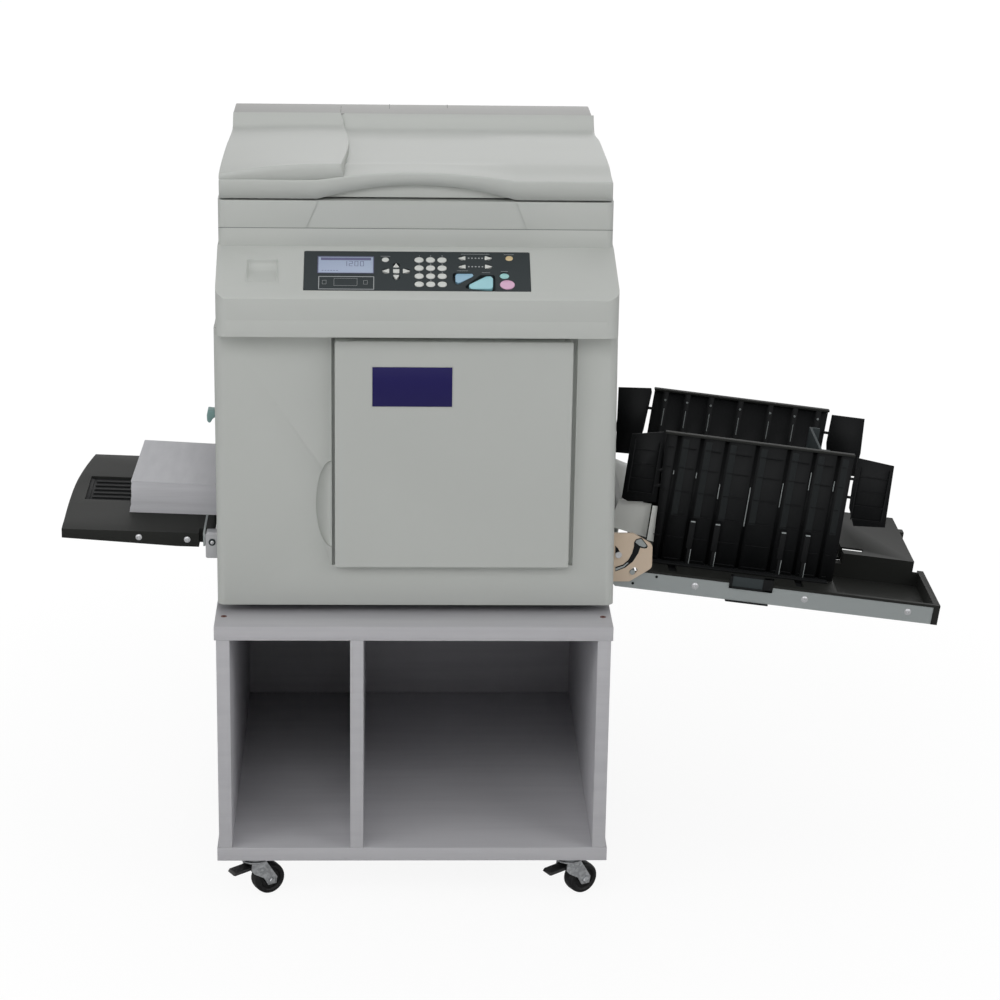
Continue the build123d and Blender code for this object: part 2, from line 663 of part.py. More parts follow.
def make_base():
    reach = HALF_BODY - WALL - PART_GAP
    front = BODY_FRONT + WALL + PART_GAP
    back = BODY_BACK - WALL - PART_GAP
    top = BODY_FOOT + BASE_PAN_THICK
    pan = block(-reach, reach, front, back, BODY_FOOT, top)
    pan = fillet(pan.edges().filter_by(Axis.Z), BODY_CORNER - WALL)
    for side in (-1, 1):
        lip = block(side * reach, side * (reach - WALL), front + BODY_CORNER, back - BODY_CORNER,
                    top - 1, top + BASE_PAN_LIP)
        pan += lip
    feet = []
    for x in (-HALF_BODY + FOOT_INSET, HALF_BODY - FOOT_INSET):
        for y in (BODY_FRONT + FOOT_INSET, STAND_DEPTH - FOOT_INSET):
            foot = Cone(FOOT_RADIUS - FOOT_TAPER, FOOT_RADIUS, FOOT_HEIGHT)
            feet.append(Pos(x, y, STAND_TOP + FOOT_HEIGHT / 2) * foot)
    parts_made["base_pan"] = pan
    parts_made["machine_feet"] = group(*feet)


def rounded_wrap(half, y0, y1, z0, z1, corner, at_front):
    """A block whose two vertical corners at the front, or at the back, are rounded."""
    body = block(-half, half, y0, y1, z0, z1)
    ends = body.edges().filter_by(Axis.Z).group_by(Axis.Y)
    return fillet(ends[0] if at_front else ends[-1], corner)


def door_lug(z0):
    """One ear on the front cover that holds a door pin."""
    arm = block(DOOR_PIN_X - DOOR_LUG_RADIUS, DOOR_PIN_X + DOOR_LUG_RADIUS, DOOR_PIN_Y,
                BODY_FRONT + RECESS_DEPTH, z0, z0 + DOOR_LUG_HEIGHT)
    knuckle = rod_z(DOOR_PIN_X, DOOR_PIN_Y, z0, z0 + DOOR_LUG_HEIGHT, DOOR_LUG_RADIUS)
    return arm + knuckle


def door_lug_heights():
    low = DOOR_FOOT + 1
    high = DOOR_TOP - 1 - DOOR_LUG_HEIGHT
    return low, high


def finger_tub(grow, y0, y1):
    z = BODY_FOOT + FINGER_FROM_BODY_FOOT
    outline = Ellipse(FINGER_WIDTH + grow, FINGER_HALF_HEIGHT + grow)
    tub = extrude(Plane.XZ * outline, amount=-(y1 - y0))
    return Pos(DOOR_LEFT - DOOR_GAP_LEFT, y0, z) * tub


def make_front_cover():
    back = BODY_FRONT + WRAP_DEPTH
    cover = rounded_wrap(HALF_BODY, BODY_FRONT, back, BODY_FOOT, BODY_TOP, BODY_CORNER, True)
    cover -= rounded_wrap(HALF_BODY - WALL, BODY_FRONT + WALL, back + 1, BODY_FOOT - 1, BODY_TOP + 1,
                          BODY_CORNER - WALL, True)
    x0 = DOOR_LEFT - DOOR_GAP_LEFT
    x1 = DOOR_RIGHT + DOOR_GAP_RIGHT
    z0 = DOOR_FOOT - DOOR_GAP_BELOW
    z1 = DOOR_TOP + DOOR_GAP_ABOVE
    floor = BODY_FRONT + RECESS_DEPTH
    cover += block(x0 - WALL, x1 + WALL, BODY_FRONT, floor + WALL, z0 - WALL, z1 + WALL)
    cover += finger_tub(WALL, BODY_FRONT + 1, BODY_FRONT + FINGER_DEPTH + WALL)
    cover -= finger_tub(0, BODY_FRONT - 1, BODY_FRONT + FINGER_DEPTH)
    cover -= block(x0, x1, BODY_FRONT - 1, floor, z0, z1)
    cover -= block(x0 + RECESS_FLANGE, x1 - RECESS_FLANGE, BODY_FRONT - 1, back,
                   z0 + RECESS_FLANGE, z1 - RECESS_FLANGE)
    for z in door_lug_heights():
        cover += door_lug(z)
    low, high = door_lug_heights()
    for z in (low, high):
        cover -= rod_z(DOOR_PIN_X, DOOR_PIN_Y, z - 1, z + DOOR_LUG_HEIGHT + 1, DOOR_PIN_RADIUS)
    parts_made["front_cover"] = cover


def make_side_covers():
    y0 = BODY_FRONT + WRAP_DEPTH
    y1 = BODY_BACK - REAR_WRAP_DEPTH
    left = block(-HALF_BODY, WALL - HALF_BODY, y0, y1, BODY_FOOT, BODY_TOP)
    feed_low = TRAY_TOP - FEED_ARM_DEPTH - FEED_LIFT - FEED_OPENING_MARGIN
    left -= block(-HALF_BODY - 1, -HALF_BODY + WALL + 1, FEED_NEAR - FEED_OPENING_MARGIN,
                  FEED_FAR + FEED_OPENING_MARGIN, feed_low, FEED_OPENING_TOP)
    left -= rod_x(-HALF_BODY - 1, -HALF_BODY + WALL + 1, LEVER_Y, LEVER_Z, LEVER_SHAFT_RADIUS + PIN_FIT)
    right = block(HALF_BODY - WALL, HALF_BODY, y0, y1, BODY_FOOT, BODY_TOP)
    right -= block(HALF_BODY - WALL - 1, HALF_BODY + 1, RAIL_NEAR + BRACKET_FLANGE, RAIL_FAR - BRACKET_FLANGE,
                   DELIVERY_LOW, DELIVERY_HIGH)
    parts_made["left_cover"] = left
    parts_made["right_cover"] = right


def make_rear_cover():
    front = BODY_BACK - REAR_WRAP_DEPTH
    cover = rounded_wrap(HALF_BODY, front, BODY_BACK, BODY_FOOT, BODY_TOP, BODY_CORNER, False)
    cover -= rounded_wrap(HALF_BODY - WALL, front - 1, BODY_BACK - WALL, BODY_FOOT - 1, BODY_TOP + 1,
                          BODY_CORNER - WALL, False)
    half_w = INLET_WIDTH / 2
    half_h = INLET_HEIGHT / 2
    cover -= block(INLET_X - half_w, INLET_X + half_w, BODY_BACK - WALL - 1, BODY_BACK + 1,
                   INLET_Z - half_h, INLET_Z + half_h)
    for side in (-1, 1):
        for row in range(VENT_COUNT):
            z = BODY_TOP - VENT_FROM_TOP - row * VENT_PITCH
            middle = side * HALF_BODY / 2
            cover -= block(middle - VENT_WIDTH / 2, middle + VENT_WIDTH / 2, BODY_BACK - WALL - 1,
                           BODY_BACK + 1, z, z + VENT_HEIGHT)
    half_w -= PIN_FIT
    half_h -= PIN_FIT
    depth_front = BODY_BACK - INLET_DEPTH
    shell = block(INLET_X - half_w, INLET_X + half_w, depth_front, BODY_BACK, INLET_Z - half_h,
                  INLET_Z + half_h)
    flange_w = half_w + INLET_FLANGE
    flange_h = half_h + INLET_FLANGE
    flange = block(INLET_X - flange_w, INLET_X + flange_w, BODY_BACK, BODY_BACK + INLET_FLANGE_THICK,
                   INLET_Z - flange_h, INLET_Z + flange_h)
    cavity = block(INLET_X - half_w + INLET_WALL, INLET_X + half_w - INLET_WALL, depth_front + INLET_WALL,
                   BODY_BACK + 2, INLET_Z - half_h + INLET_WALL, INLET_Z + half_h - INLET_WALL)
    inlet = shell + flange - cavity
    for x, z in INLET_PIN_PLACES:
        inlet += block(INLET_X + x - 1, INLET_X + x + 1, depth_front + INLET_WALL - 1,
                       BODY_BACK - INLET_PIN_SETBACK, INLET_Z + z - 2, INLET_Z + z + 2)
    parts_made["rear_cover"] = cover
    parts_made["power_inlet"] = inlet


# Hood and control panel

def hood_outline(inset):
    """The hood's side view, from the seam up the front, the slope and along the top."""
    top = HOUSING_TOP - inset
    slope_drop = inset / math.cos(math.radians(SLOPE_ANGLE))
    rise = math.tan(math.radians(SLOPE_ANGLE))
    edge_y = HOOD_FRONT + SLOPE_SETBACK
    front = HOOD_FRONT + inset
    low = HOOD_SEAM if inset == 0 else HOOD_SEAM - 1
    if inset == 0:
        face_top = [(front, HOOD_EDGE - SLOPE_SETBACK), (edge_y, HOOD_EDGE)]
    else:
        face_top = [(front, HOOD_EDGE - slope_drop + (front - edge_y) * rise)]
    crest_y = edge_y + (top - HOOD_EDGE + slope_drop) / rise
    back = HOOD_BACK - inset
    return [(front, low), *face_top, (crest_y, top), (back, top), (back, low)]


def make_hood():
    outer = slab_yz(hood_outline(0), -HALF_HOOD, HALF_HOOD)
    plan = rounded_wrap(HALF_HOOD, HOOD_FRONT, HOOD_BACK, HOOD_SEAM - 1, HOUSING_TOP + 1, HOOD_CORNER, True)
    inner = slab_yz(hood_outline(WALL), WALL - HALF_HOOD, HALF_HOOD - WALL)
    inner_plan = rounded_wrap(HALF_HOOD - WALL, HOOD_FRONT + WALL, HOOD_BACK - WALL, HOOD_SEAM - 2,
                              HOUSING_TOP, HOOD_CORNER - WALL, True)
    housing = (outer & plan) - (inner & inner_plan)
    deep = block(PANEL_LEFT - PART_GAP, PANEL_RIGHT + PART_GAP, PANEL_LOW - PART_GAP, PANEL_HIGH + PART_GAP,
                 -2 * PANEL_THICK, 2 * PANEL_THICK)
    housing -= on_slope(deep)
    pocket_wall = block(POCKET_LEFT - WALL, POCKET_RIGHT + WALL, POCKET_LOW - WALL, POCKET_HIGH + WALL,
                        -POCKET_DEPTH - WALL, -1)
    pocket = block(POCKET_LEFT, POCKET_RIGHT, POCKET_LOW, POCKET_HIGH, -POCKET_DEPTH, 5)
    housing = housing + on_slope(pocket_wall) - on_slope(pocket)
    skirt = rounded_wrap(HALF_HOOD, HOOD_FRONT, HOOD_BACK, BODY_TOP, HOOD_SEAM, HOOD_CORNER, True)
    hollow = rounded_wrap(HALF_HOOD - WALL, HOOD_FRONT + WALL, HOOD_BACK - WALL, BODY_TOP - 1, HOOD_SEAM + 1,
                          HOOD_CORNER - WALL, True)
    lip = rounded_wrap(HALF_HOOD, HOOD_FRONT, BODY_FRONT + WALL, BODY_TOP, BODY_TOP + WALL, HOOD_CORNER, True)
    parts_made["upper_housing"] = housing
    parts_made["panel_skirt"] = skirt - hollow + lip


def key_outline(places, sketch):
    return [Pos(x, s) * sketch for x, s in places]


def big_key_outline(corners):
    face = make_face(Polyline(*corners, close=True))
    return fillet(face.vertices(), BIG_KEY_CORNER)


def key_outlines():
    """Every key's outline, by node, in X and distance up the slope."""
    number_places = [(x, s) for s in NUMBER_KEY_ROWS for x in NUMBER_KEY_COLUMNS]
    number = SlotOverall(*NUMBER_KEY_SIZE)
    arrows = key_outline(ARROW_KEY_PLACES, Circle(ARROW_KEY_RADIUS))
    arrows += key_outline(SMALL_KEY_PLACES, Circle(SMALL_KEY_RADIUS))
    return {
        "number_keys": key_outline(number_places, number),
        "arrow_keys": arrows,
        "master_key": [big_key_outline(MASTER_KEY_CORNERS)],
        "print_key": [big_key_outline(PRINT_KEY_CORNERS)],
        "stop_key": key_outline([STOP_KEY_PLACE], Circle(STOP_KEY_RADIUS)),
        "test_key": key_outline([TEST_KEY_PLACE], Circle(TEST_KEY_RADIUS)),
        "wake_key": key_outline([WAKE_KEY_PLACE], Circle(WAKE_KEY_RADIUS)),
    }


def make_controls():
    panel = block(PANEL_LEFT, PANEL_RIGHT, PANEL_LOW, PANEL_HIGH, PANEL_PROUD - PANEL_THICK, PANEL_PROUD)
    panel = fillet(panel.edges().filter_by(Axis.Z), PANEL_CORNER)
    well_floor = -KEY_DEPTH - KEY_TRAVEL - PART_GAP
    for name, outlines in key_outlines().items():
        caps = []
        for outline in outlines:
            well = extrude(offset(outline, KEY_GAP), amount=PANEL_PROUD - well_floor + 1)
            panel -= Pos(0, 0, well_floor) * well
            cap = Pos(0, 0, -KEY_DEPTH) * extrude(outline, amount=KEY_DEPTH + KEY_PROUD)
            rim = cap.faces().sort_by(Axis.Z)[-1].edges()
            caps.append(on_slope(fillet(rim, KEY_RIM)))
        parts_made[name] = group(*caps)
    window = block(WINDOW_LEFT, WINDOW_RIGHT, WINDOW_LOW, WINDOW_HIGH, PANEL_PROUD - WINDOW_THICK,
                   PANEL_PROUD)
    panel -= window
    parts_made["control_panel"] = on_slope(panel)
    parts_made["display_window"] = on_slope(window)


# Door

def make_door():
    skin = block(DOOR_LEFT, DOOR_RIGHT, DOOR_FRONT, DOOR_BACK, DOOR_FOOT, DOOR_TOP)
    skin = fillet(skin.edges().filter_by(Axis.Y), DOOR_CORNER)
    skin = fillet(skin.faces().sort_by(Axis.Y)[0].edges(), DOOR_RIM)
    hollow = block(DOOR_LEFT + WALL, DOOR_RIGHT - WALL, DOOR_FRONT + WALL, DOOR_BACK + 1,
                   DOOR_FOOT + WALL, DOOR_TOP - WALL)
    door = skin - hollow
    low, high = door_lug_heights()
    notch_left = DOOR_PIN_X - DOOR_LUG_RADIUS - 1
    boss_left = notch_left - DOOR_BOSS_MARGIN
    for lug_z, side in ((low, 1), (high, -1)):
        lug_end = lug_z + DOOR_LUG_HEIGHT + 1 if side > 0 else lug_z - 1
        notch_end = DOOR_FOOT - 1 if side > 0 else DOOR_TOP + 1
        boss_end = lug_end + side * DOOR_BOSS_HEIGHT
        door += block(boss_left, DOOR_RIGHT - 1, DOOR_FRONT + 1,
                      DOOR_PIN_Y + DOOR_LUG_RADIUS + DOOR_BOSS_MARGIN, lug_end, boss_end)
        door -= block(notch_left, DOOR_RIGHT + 1, DOOR_FRONT + WALL - 0.5, DOOR_BACK + 1,
                      notch_end, lug_end)
        door -= rod_z(DOOR_PIN_X, DOOR_PIN_Y, lug_end - side, boss_end + side, DOOR_PIN_RADIUS + PIN_FIT)
    middle = (DOOR_LEFT + DOOR_RIGHT) / 2
    door += block(middle - WALL / 2, middle + WALL / 2, DOOR_FRONT + 1, DOOR_BACK - WALL - 1,
                  DOOR_FOOT + 1, DOOR_TOP - 1)
    parts_made["front_door"] = door


def make_pins():
    low, high = door_lug_heights()
    pins = [
        rod_z(DOOR_PIN_X, DOOR_PIN_Y, low, low + DOOR_LUG_HEIGHT + DOOR_BOSS_HEIGHT, DOOR_PIN_RADIUS),
        rod_z(DOOR_PIN_X, DOOR_PIN_Y, high - DOOR_BOSS_HEIGHT, high + DOOR_LUG_HEIGHT, DOOR_PIN_RADIUS),
    ]
    for side in (-1, 1):
        far = side * (LID_POST_X + LID_POST_WIDTH + LID_EAR_WIDTH + PART_GAP)
        pins.append(rod_x(side * LID_POST_X, far, LID_PIN_Y, LID_PIN_Z, LID_PIN_RADIUS))
    near = RAIL_NEAR - BRACKET_GAP - BRACKET_THICK
    far = RAIL_FAR + BRACKET_GAP + BRACKET_THICK
    pins.append(rod_y(TRAY_PIVOT_X, near - 3, RAIL_NEAR + RAIL_SHEET + 2, TRAY_PIVOT_Z, TRAY_PIN_RADIUS))
    pins.append(rod_y(TRAY_PIVOT_X, RAIL_FAR - RAIL_SHEET - 2, far + 3, TRAY_PIVOT_Z, TRAY_PIN_RADIUS))
    parts_made["hinge_pins"] = group(*pins)


# Scanner and lid

def make_scanner():
    base = rounded_wrap(HALF_SCANNER, SCANNER_FRONT, SCANNER_BACK, HOUSING_TOP, SCANNER_SEAM,
                        SCANNER_CORNER, True)
    base -= rounded_wrap(HALF_SCANNER - WALL, SCANNER_FRONT + WALL, SCANNER_BACK - WALL, HOUSING_TOP + WALL,
                         SCANNER_SEAM + 1, SCANNER_CORNER - WALL, True)
    carriage_top = GLASS_TOP - GLASS_THICK - CARRIAGE_GAP
    carriage_foot = carriage_top - CARRIAGE_HEIGHT
    for y in (GLASS_FRONT + 10, GLASS_BACK - 10):
        base += block(WALL - HALF_SCANNER, HALF_SCANNER - WALL, y - CARRIAGE_RAIL_WIDTH / 2,
                      y + CARRIAGE_RAIL_WIDTH / 2, HOUSING_TOP + 1, carriage_foot - PART_GAP)
    frame = rounded_wrap(HALF_SCANNER, SCANNER_FRONT, SCANNER_BACK, SCANNER_SEAM, GLASS_TOP,
                         SCANNER_CORNER, True)
    frame -= rounded_wrap(HALF_SCANNER - WALL, SCANNER_FRONT + WALL, SCANNER_BACK - WALL, SCANNER_SEAM - 1,
                          GLASS_TOP - GLASS_THICK - WALL, SCANNER_CORNER - WALL, True)
    frame -= block(GLASS_LEFT, GLASS_RIGHT, GLASS_FRONT, GLASS_BACK, GLASS_TOP - GLASS_THICK, GLASS_TOP + 1)
    frame -= block(GLASS_LEFT + GLASS_LEDGE, GLASS_RIGHT - GLASS_LEDGE, GLASS_FRONT + GLASS_LEDGE,
                   GLASS_BACK - GLASS_LEDGE, SCANNER_SEAM, GLASS_TOP + 1)
    low_left, low_right = HANDLE_PANEL_LOW
    top_left, top_right = HANDLE_PANEL_TOP
    hand_space = slab_xz([(low_left, SCANNER_SEAM), (low_right, SCANNER_SEAM), (top_right, GLASS_TOP + 1),
                          (top_left, GLASS_TOP + 1)], SCANNER_FRONT - 1, SCANNER_FRONT + HANDLE_PANEL_DEPTH)
    frame -= hand_space
    for side in (-1, 1):
        post_near = LID_PIN_Y - LID_EAR_RADIUS
        post = block(side * LID_POST_X, side * (LID_POST_X + LID_POST_WIDTH), post_near, SCANNER_BACK,
                     GLASS_TOP, LID_PIN_Z)
        knuckle = rod_x(side * LID_POST_X, side * (LID_POST_X + LID_POST_WIDTH), LID_PIN_Y, LID_PIN_Z,
                        LID_EAR_RADIUS)
        frame += post + knuckle
        frame -= rod_x(side * (LID_POST_X - 1), side * (LID_POST_X + LID_POST_WIDTH + 1), LID_PIN_Y,
                       LID_PIN_Z, LID_PIN_RADIUS)
    glass = block(GLASS_LEFT + PIN_FIT, GLASS_RIGHT - PIN_FIT, GLASS_FRONT + PIN_FIT, GLASS_BACK - PIN_FIT,
                  GLASS_TOP - GLASS_THICK, GLASS_TOP)
    x0 = GLASS_LEFT + CARRIAGE_FROM_GLASS_LEFT
    carriage = block(x0, x0 + CARRIAGE_WIDTH, GLASS_FRONT, GLASS_BACK, carriage_foot, carriage_top)
    carriage -= block(x0 + TROUGH_SIDE_WALL, x0 + CARRIAGE_WIDTH - TROUGH_SIDE_WALL,
                      GLASS_FRONT + TROUGH_END_WALL, GLASS_BACK - TROUGH_END_WALL,
                      carriage_top - TROUGH_DEPTH, carriage_top + 1)
    parts_made["scanner_base"] = base
    parts_made["scanner_frame"] = frame
    parts_made["platen_glass"] = glass
    parts_made["scan_carriage"] = carriage


def lid_top_line(rise):
    """The lid's top in side view: a low rim, a crown behind it, then a fall to the ridge."""
    depth = RIDGE_FRONT - SCANNER_FRONT
    rim = LID_FOOT + LID_RIM + rise
    return Spline((0, SCANNER_FRONT, rim), (0, SCANNER_FRONT + 0.2 * depth, rim + LID_CROWN),
                  (0, SCANNER_FRONT + 0.55 * depth, rim + LID_CROWN / 3), (0, RIDGE_FRONT, rim - LID_SAG))


def lid_slice(x0, x1, rise, floor):
    top = lid_top_line(rise)
    end = top @ 1
    start = top @ 0
    face = make_face([top, Polyline(end, (0, RIDGE_FRONT, floor), (0, SCANNER_FRONT, floor), start)])
    return Pos(x0, 0, 0) * extrude(face, amount=x1 - x0, dir=(1, 0, 0))


def ridge_outline(inset):
    """The ridge in side view: a slope at the front, a long flat top and a short slope at the back."""
    y0 = RIDGE_FRONT + inset
    y1 = LID_BACK - inset
    foot = LID_FOOT - (1 if inset > 0 else 0)
    crest = LID_FOOT + RIDGE_RISE - inset
    back = LID_FOOT + RIDGE_BACK_RISE - inset
    return [(y0, foot), (y0, LID_FOOT + RIDGE_FRONT_RISE - inset / 2), (y0 + RIDGE_SLOPE_DEPTH, crest),
            (LID_BACK - RIDGE_BACK_SLOPE - inset / 2, back), (y1, back - RIDGE_BACK_FALL + inset), (y1, foot)]


def make_lid():
    seam_x = SIDE_COVER_WIDTH - HALF_LID
    cover = lid_slice(-HALF_LID, HALF_LID, 0, LID_FOOT)
    inside = block(-HALF_LID, HALF_LID, SCANNER_FRONT + LID_WALL, RIDGE_FRONT - LID_WALL,
                   LID_FOOT - 2, 2 * LID_FOOT)
    cover -= lid_slice(LID_WALL - HALF_LID, HALF_LID - LID_WALL, -LID_WALL, LID_FOOT - 1) & inside
    set_back = block(-HALF_LID, seam_x, SCANNER_FRONT + SIDE_COVER_FRONT_INSET, RIDGE_FRONT,
                     LID_FOOT, 2 * LID_FOOT)
    raised = lid_slice(-HALF_LID, seam_x, SIDE_COVER_RISE, LID_FOOT) & set_back
    raised -= lid_slice(-HALF_LID - 1, seam_x + 1, PIN_FIT, LID_FOOT - 1)
    ridge = slab_yz(ridge_outline(0), -HALF_LID, HALF_LID)
    ridge -= slab_yz(ridge_outline(LID_WALL), LID_WALL - HALF_LID, HALF_LID - LID_WALL)
    ear_top = LID_PIN_Z + LID_EAR_RADIUS + 1
    for side in (-1, 1):
        post_out = LID_POST_X + LID_POST_WIDTH + PART_GAP
        ridge -= block(side * (LID_POST_X - 2), side * post_out, LID_PIN_Y - LID_EAR_RADIUS - 2, LID_BACK + 1,
                       LID_FOOT - 1, ear_top + 1)
        ear = rod_x(side * post_out, side * (post_out + LID_EAR_WIDTH), LID_PIN_Y, LID_PIN_Z,
                    LID_EAR_RADIUS)
        web = block(side * post_out, side * (post_out + LID_EAR_WIDTH), LID_BACK - LID_WALL, LID_PIN_Y,
                    LID_PIN_Z, LID_PIN_Z + LID_EAR_RADIUS)
        ridge += ear + web
        ridge -= rod_x(side * post_out, side * (post_out + LID_EAR_WIDTH + 1), LID_PIN_Y, LID_PIN_Z,
                       LID_PIN_RADIUS + PIN_FIT)
    pad_foot = GLASS_TOP + PART_GAP
    pad = block(GLASS_LEFT - PAD_MARGIN, GLASS_RIGHT + PAD_MARGIN, GLASS_FRONT - PAD_MARGIN,
                GLASS_BACK + PAD_MARGIN, pad_foot, pad_foot + PAD_THICK)
    lift = block(GLASS_LEFT + PAD_LIFT_INSET, GLASS_RIGHT - PAD_LIFT_INSET, GLASS_FRONT + PAD_LIFT_INSET,
                 GLASS_BACK - PAD_LIFT_INSET, pad_foot + PAD_THICK - 1, LID_FOOT + PAD_LIFT_RISE)
    parts_made["lid_cover"] = cover
    parts_made["lid_side_cover"] = raised
    parts_made["lid_rear_cover"] = ridge
    parts_made["lid_pad"] = pad + lift


# Inner frame, drum and rollers

def make_inner_frame():
    z0 = BODY_FOOT + BASE_PAN_THICK
    z1 = BODY_TOP - FRAME_BELOW_TOP
    front = block(-FRAME_HALF_WIDTH, FRAME_HALF_WIDTH, FRAME_FRONT, FRAME_FRONT + FRAME_SHEET, z0, z1)
    rear = block(-FRAME_HALF_WIDTH, FRAME_HALF_WIDTH, FRAME_BACK, FRAME_BACK + FRAME_SHEET, z0, z1)
    x0 = DRUM_X - CARRIER_HALF_WIDTH
    x1 = DRUM_X + CARRIER_HALF_WIDTH
    carrier_foot = DRUM_Z - CARRIER_HALF_HEIGHT
    carrier_top = DRUM_Z + CARRIER_HALF_HEIGHT
    front -= block(x0 - CARRIER_PLAY, x1 + CARRIER_PLAY, FRAME_FRONT - 1, FRAME_FRONT + FRAME_SHEET + 1,
                   carrier_foot, carrier_top + CARRIER_PLAY)
    carrier = block(x0, x1, FRAME_FRONT, FRAME_FRONT + FRAME_SHEET, carrier_foot, carrier_top)
    carrier -= rod_y(DRUM_X, FRAME_FRONT - 1, FRAME_FRONT + FRAME_SHEET + 1, DRUM_Z,
                     DRUM_SHAFT_RADIUS + PIN_FIT)
    grip_foot = DRUM_Z - GRIP_DROP
    grip_top = grip_foot + GRIP_HEIGHT
    grip_back = FRAME_FRONT - GRIP_REACH + GRIP_THICK
    grip = block(DRUM_X - GRIP_LENGTH / 2, DRUM_X + GRIP_LENGTH / 2, FRAME_FRONT - GRIP_REACH, grip_back,
                 grip_foot, grip_top)
    stem_half = GRIP_STEM_WIDTH / 2
    for side in (-1, 1):
        stem_x = DRUM_X + side * (GRIP_LENGTH / 2 - GRIP_STEM_INSET)
        grip += block(stem_x - stem_half, stem_x + stem_half, grip_back - GRIP_THICK / 2, FRAME_FRONT,
                      grip_foot + 2, grip_top - 2)
    carrier += grip
    slot_foot = TRAY_TOP - FEED_PLATE_THICK - FEED_LIFT - PART_GAP
    for plate_y in (FRAME_FRONT, FRAME_BACK):
        slot = block(FEED_TAB_LEFT - PART_GAP, FEED_TAB_RIGHT + PART_GAP, plate_y - 1,
                     plate_y + FRAME_SHEET + 1, slot_foot, TRAY_TOP + PART_GAP)
        front -= slot
        rear -= slot
    rollers = ((DRUM_X, PRESS_Z, PRESS_SHAFT_RADIUS), (FEED_ROLLER_X, FEED_ROLLER_Z, FEED_SHAFT_RADIUS))
    for x, z, radius in rollers:
        bore = rod_y(x, FRAME_FRONT - 1, FRAME_BACK + FRAME_SHEET + 1, z, radius + PIN_FIT)
        front -= bore
        rear -= bore
    rear -= rod_y(DRUM_X, FRAME_BACK - 1, FRAME_BACK + FRAME_SHEET + 1, DRUM_Z, DRUM_SHAFT_RADIUS + PIN_FIT)
    ties = []
    inner = FRAME_FRONT + FRAME_SHEET
    tie_places = ((-TIE_X, z1 - TIE_DROP), (TIE_X, z1 - TIE_DROP), (TIE_X, z0 + TIE_RISE_RIGHT),
                  (-TIE_X, z0 + TIE_RISE_LEFT))
    for x, z in tie_places:
        ties.append(rod_y(x, inner, FRAME_BACK, z, TIE_RADIUS))
    parts_made["machine_frame"] = group(front, rear, carrier, *ties)


def roller(x, z, radius, y0, y1, shaft_radius):
    """A roller with stub shafts that run in both frame plates."""
    body = rod_y(x, y0, y1, z, radius)
    shaft_start = FRAME_FRONT - SHAFT_BEYOND_FRAME
    shaft_end = FRAME_BACK + FRAME_SHEET + SHAFT_BEYOND_FRAME
    return body + rod_y(x, shaft_start, shaft_end, z, shaft_radius)


def make_rollers():
    y0 = FRAME_FRONT + FRAME_SHEET + DRUM_END_GAP
    y1 = FRAME_BACK - DRUM_END_GAP
    drum = roller(DRUM_X, DRUM_Z, DRUM_RADIUS, y0, y1, DRUM_SHAFT_RADIUS)
    hollow = rod_y(DRUM_X, y0 + DRUM_WALL, y1 - DRUM_WALL, DRUM_Z, DRUM_RADIUS - DRUM_WALL)
    core = rod_y(DRUM_X, y0, y1, DRUM_Z, DRUM_SHAFT_RADIUS)
    drum = drum - hollow + core
    clamp_top = DRUM_Z + DRUM_RADIUS - CLAMP_BELOW_SKIN
    drum -= block(DRUM_X - CLAMP_WIDTH, DRUM_X + CLAMP_WIDTH, y0 + CLAMP_INSET, y1 - CLAMP_INSET,
                  clamp_top - 1, DRUM_Z + DRUM_RADIUS + 1)
    clamp = block(DRUM_X - CLAMP_WIDTH - DRUM_WALL, DRUM_X + CLAMP_WIDTH + DRUM_WALL,
                  y0 + CLAMP_INSET - DRUM_WALL, y1 - CLAMP_INSET + DRUM_WALL,
                  clamp_top - 1 - CLAMP_THICK, clamp_top - 1)
    bar = block(DRUM_X - CLAMP_WIDTH / 2, DRUM_X + CLAMP_WIDTH / 2, y0 + CLAMP_INSET + 2,
                y1 - CLAMP_INSET - 2, clamp_top - 2, clamp_top)
    parts_made["print_drum"] = drum + clamp + bar
    parts_made["press_roller"] = roller(DRUM_X, PRESS_Z, PRESS_RADIUS, y0, y1, PRESS_SHAFT_RADIUS)
    half = FEED_ROLLER_LENGTH / 2
    parts_made["feed_roller"] = roller(FEED_ROLLER_X, FEED_ROLLER_Z, FEED_ROLLER_RADIUS, PAPER_MIDDLE - half,
                                       PAPER_MIDDLE + half, FEED_SHAFT_RADIUS)


# Feed side

def feed_arm(y0, y1, inward):
    """A silver arm of the feed table with the pin that carries the tray."""
    foot = TRAY_TOP - FEED_ARM_DEPTH
    arm = block(FEED_ARM_OUTER, FEED_TABLE_EDGE + FEED_ARM_LAP, y0, y1, foot, TRAY_TOP)
    top_corner = arm.edges().filter_by(Axis.Y).sort_by(Axis.X)[:2]
    arm = fillet(top_corner, FEED_ARM_CORNER)
    pin_start = y1 if inward > 0 else y0
    pin_end = pin_start + inward * FEED_PIN_LENGTH
    pin = rod_y(FEED_PIN_X, pin_start - inward, pin_end, FEED_PIN_Z, FEED_PIN_RADIUS)
    return arm + pin


def make_feed_table():
    plate = block(FEED_TABLE_EDGE, FEED_TABLE_INNER, FEED_NEAR, FEED_FAR,
                  TRAY_TOP - FEED_PLATE_THICK, TRAY_TOP)
    near_inner = FEED_NEAR + FEED_ARM_WIDTH
    far_inner = FEED_FAR - FEED_ARM_WIDTH
    plate += feed_arm(FEED_NEAR, near_inner, 1)
    plate += feed_arm(far_inner, FEED_FAR, -1)
    plate += block(FEED_TAB_LEFT, FEED_TAB_RIGHT, FRAME_FRONT - FEED_TAB_REACH,
                   FRAME_BACK + FRAME_SHEET + FEED_TAB_REACH, TRAY_TOP - FEED_PLATE_THICK, TRAY_TOP)
    parts_made["feed_table"] = plate


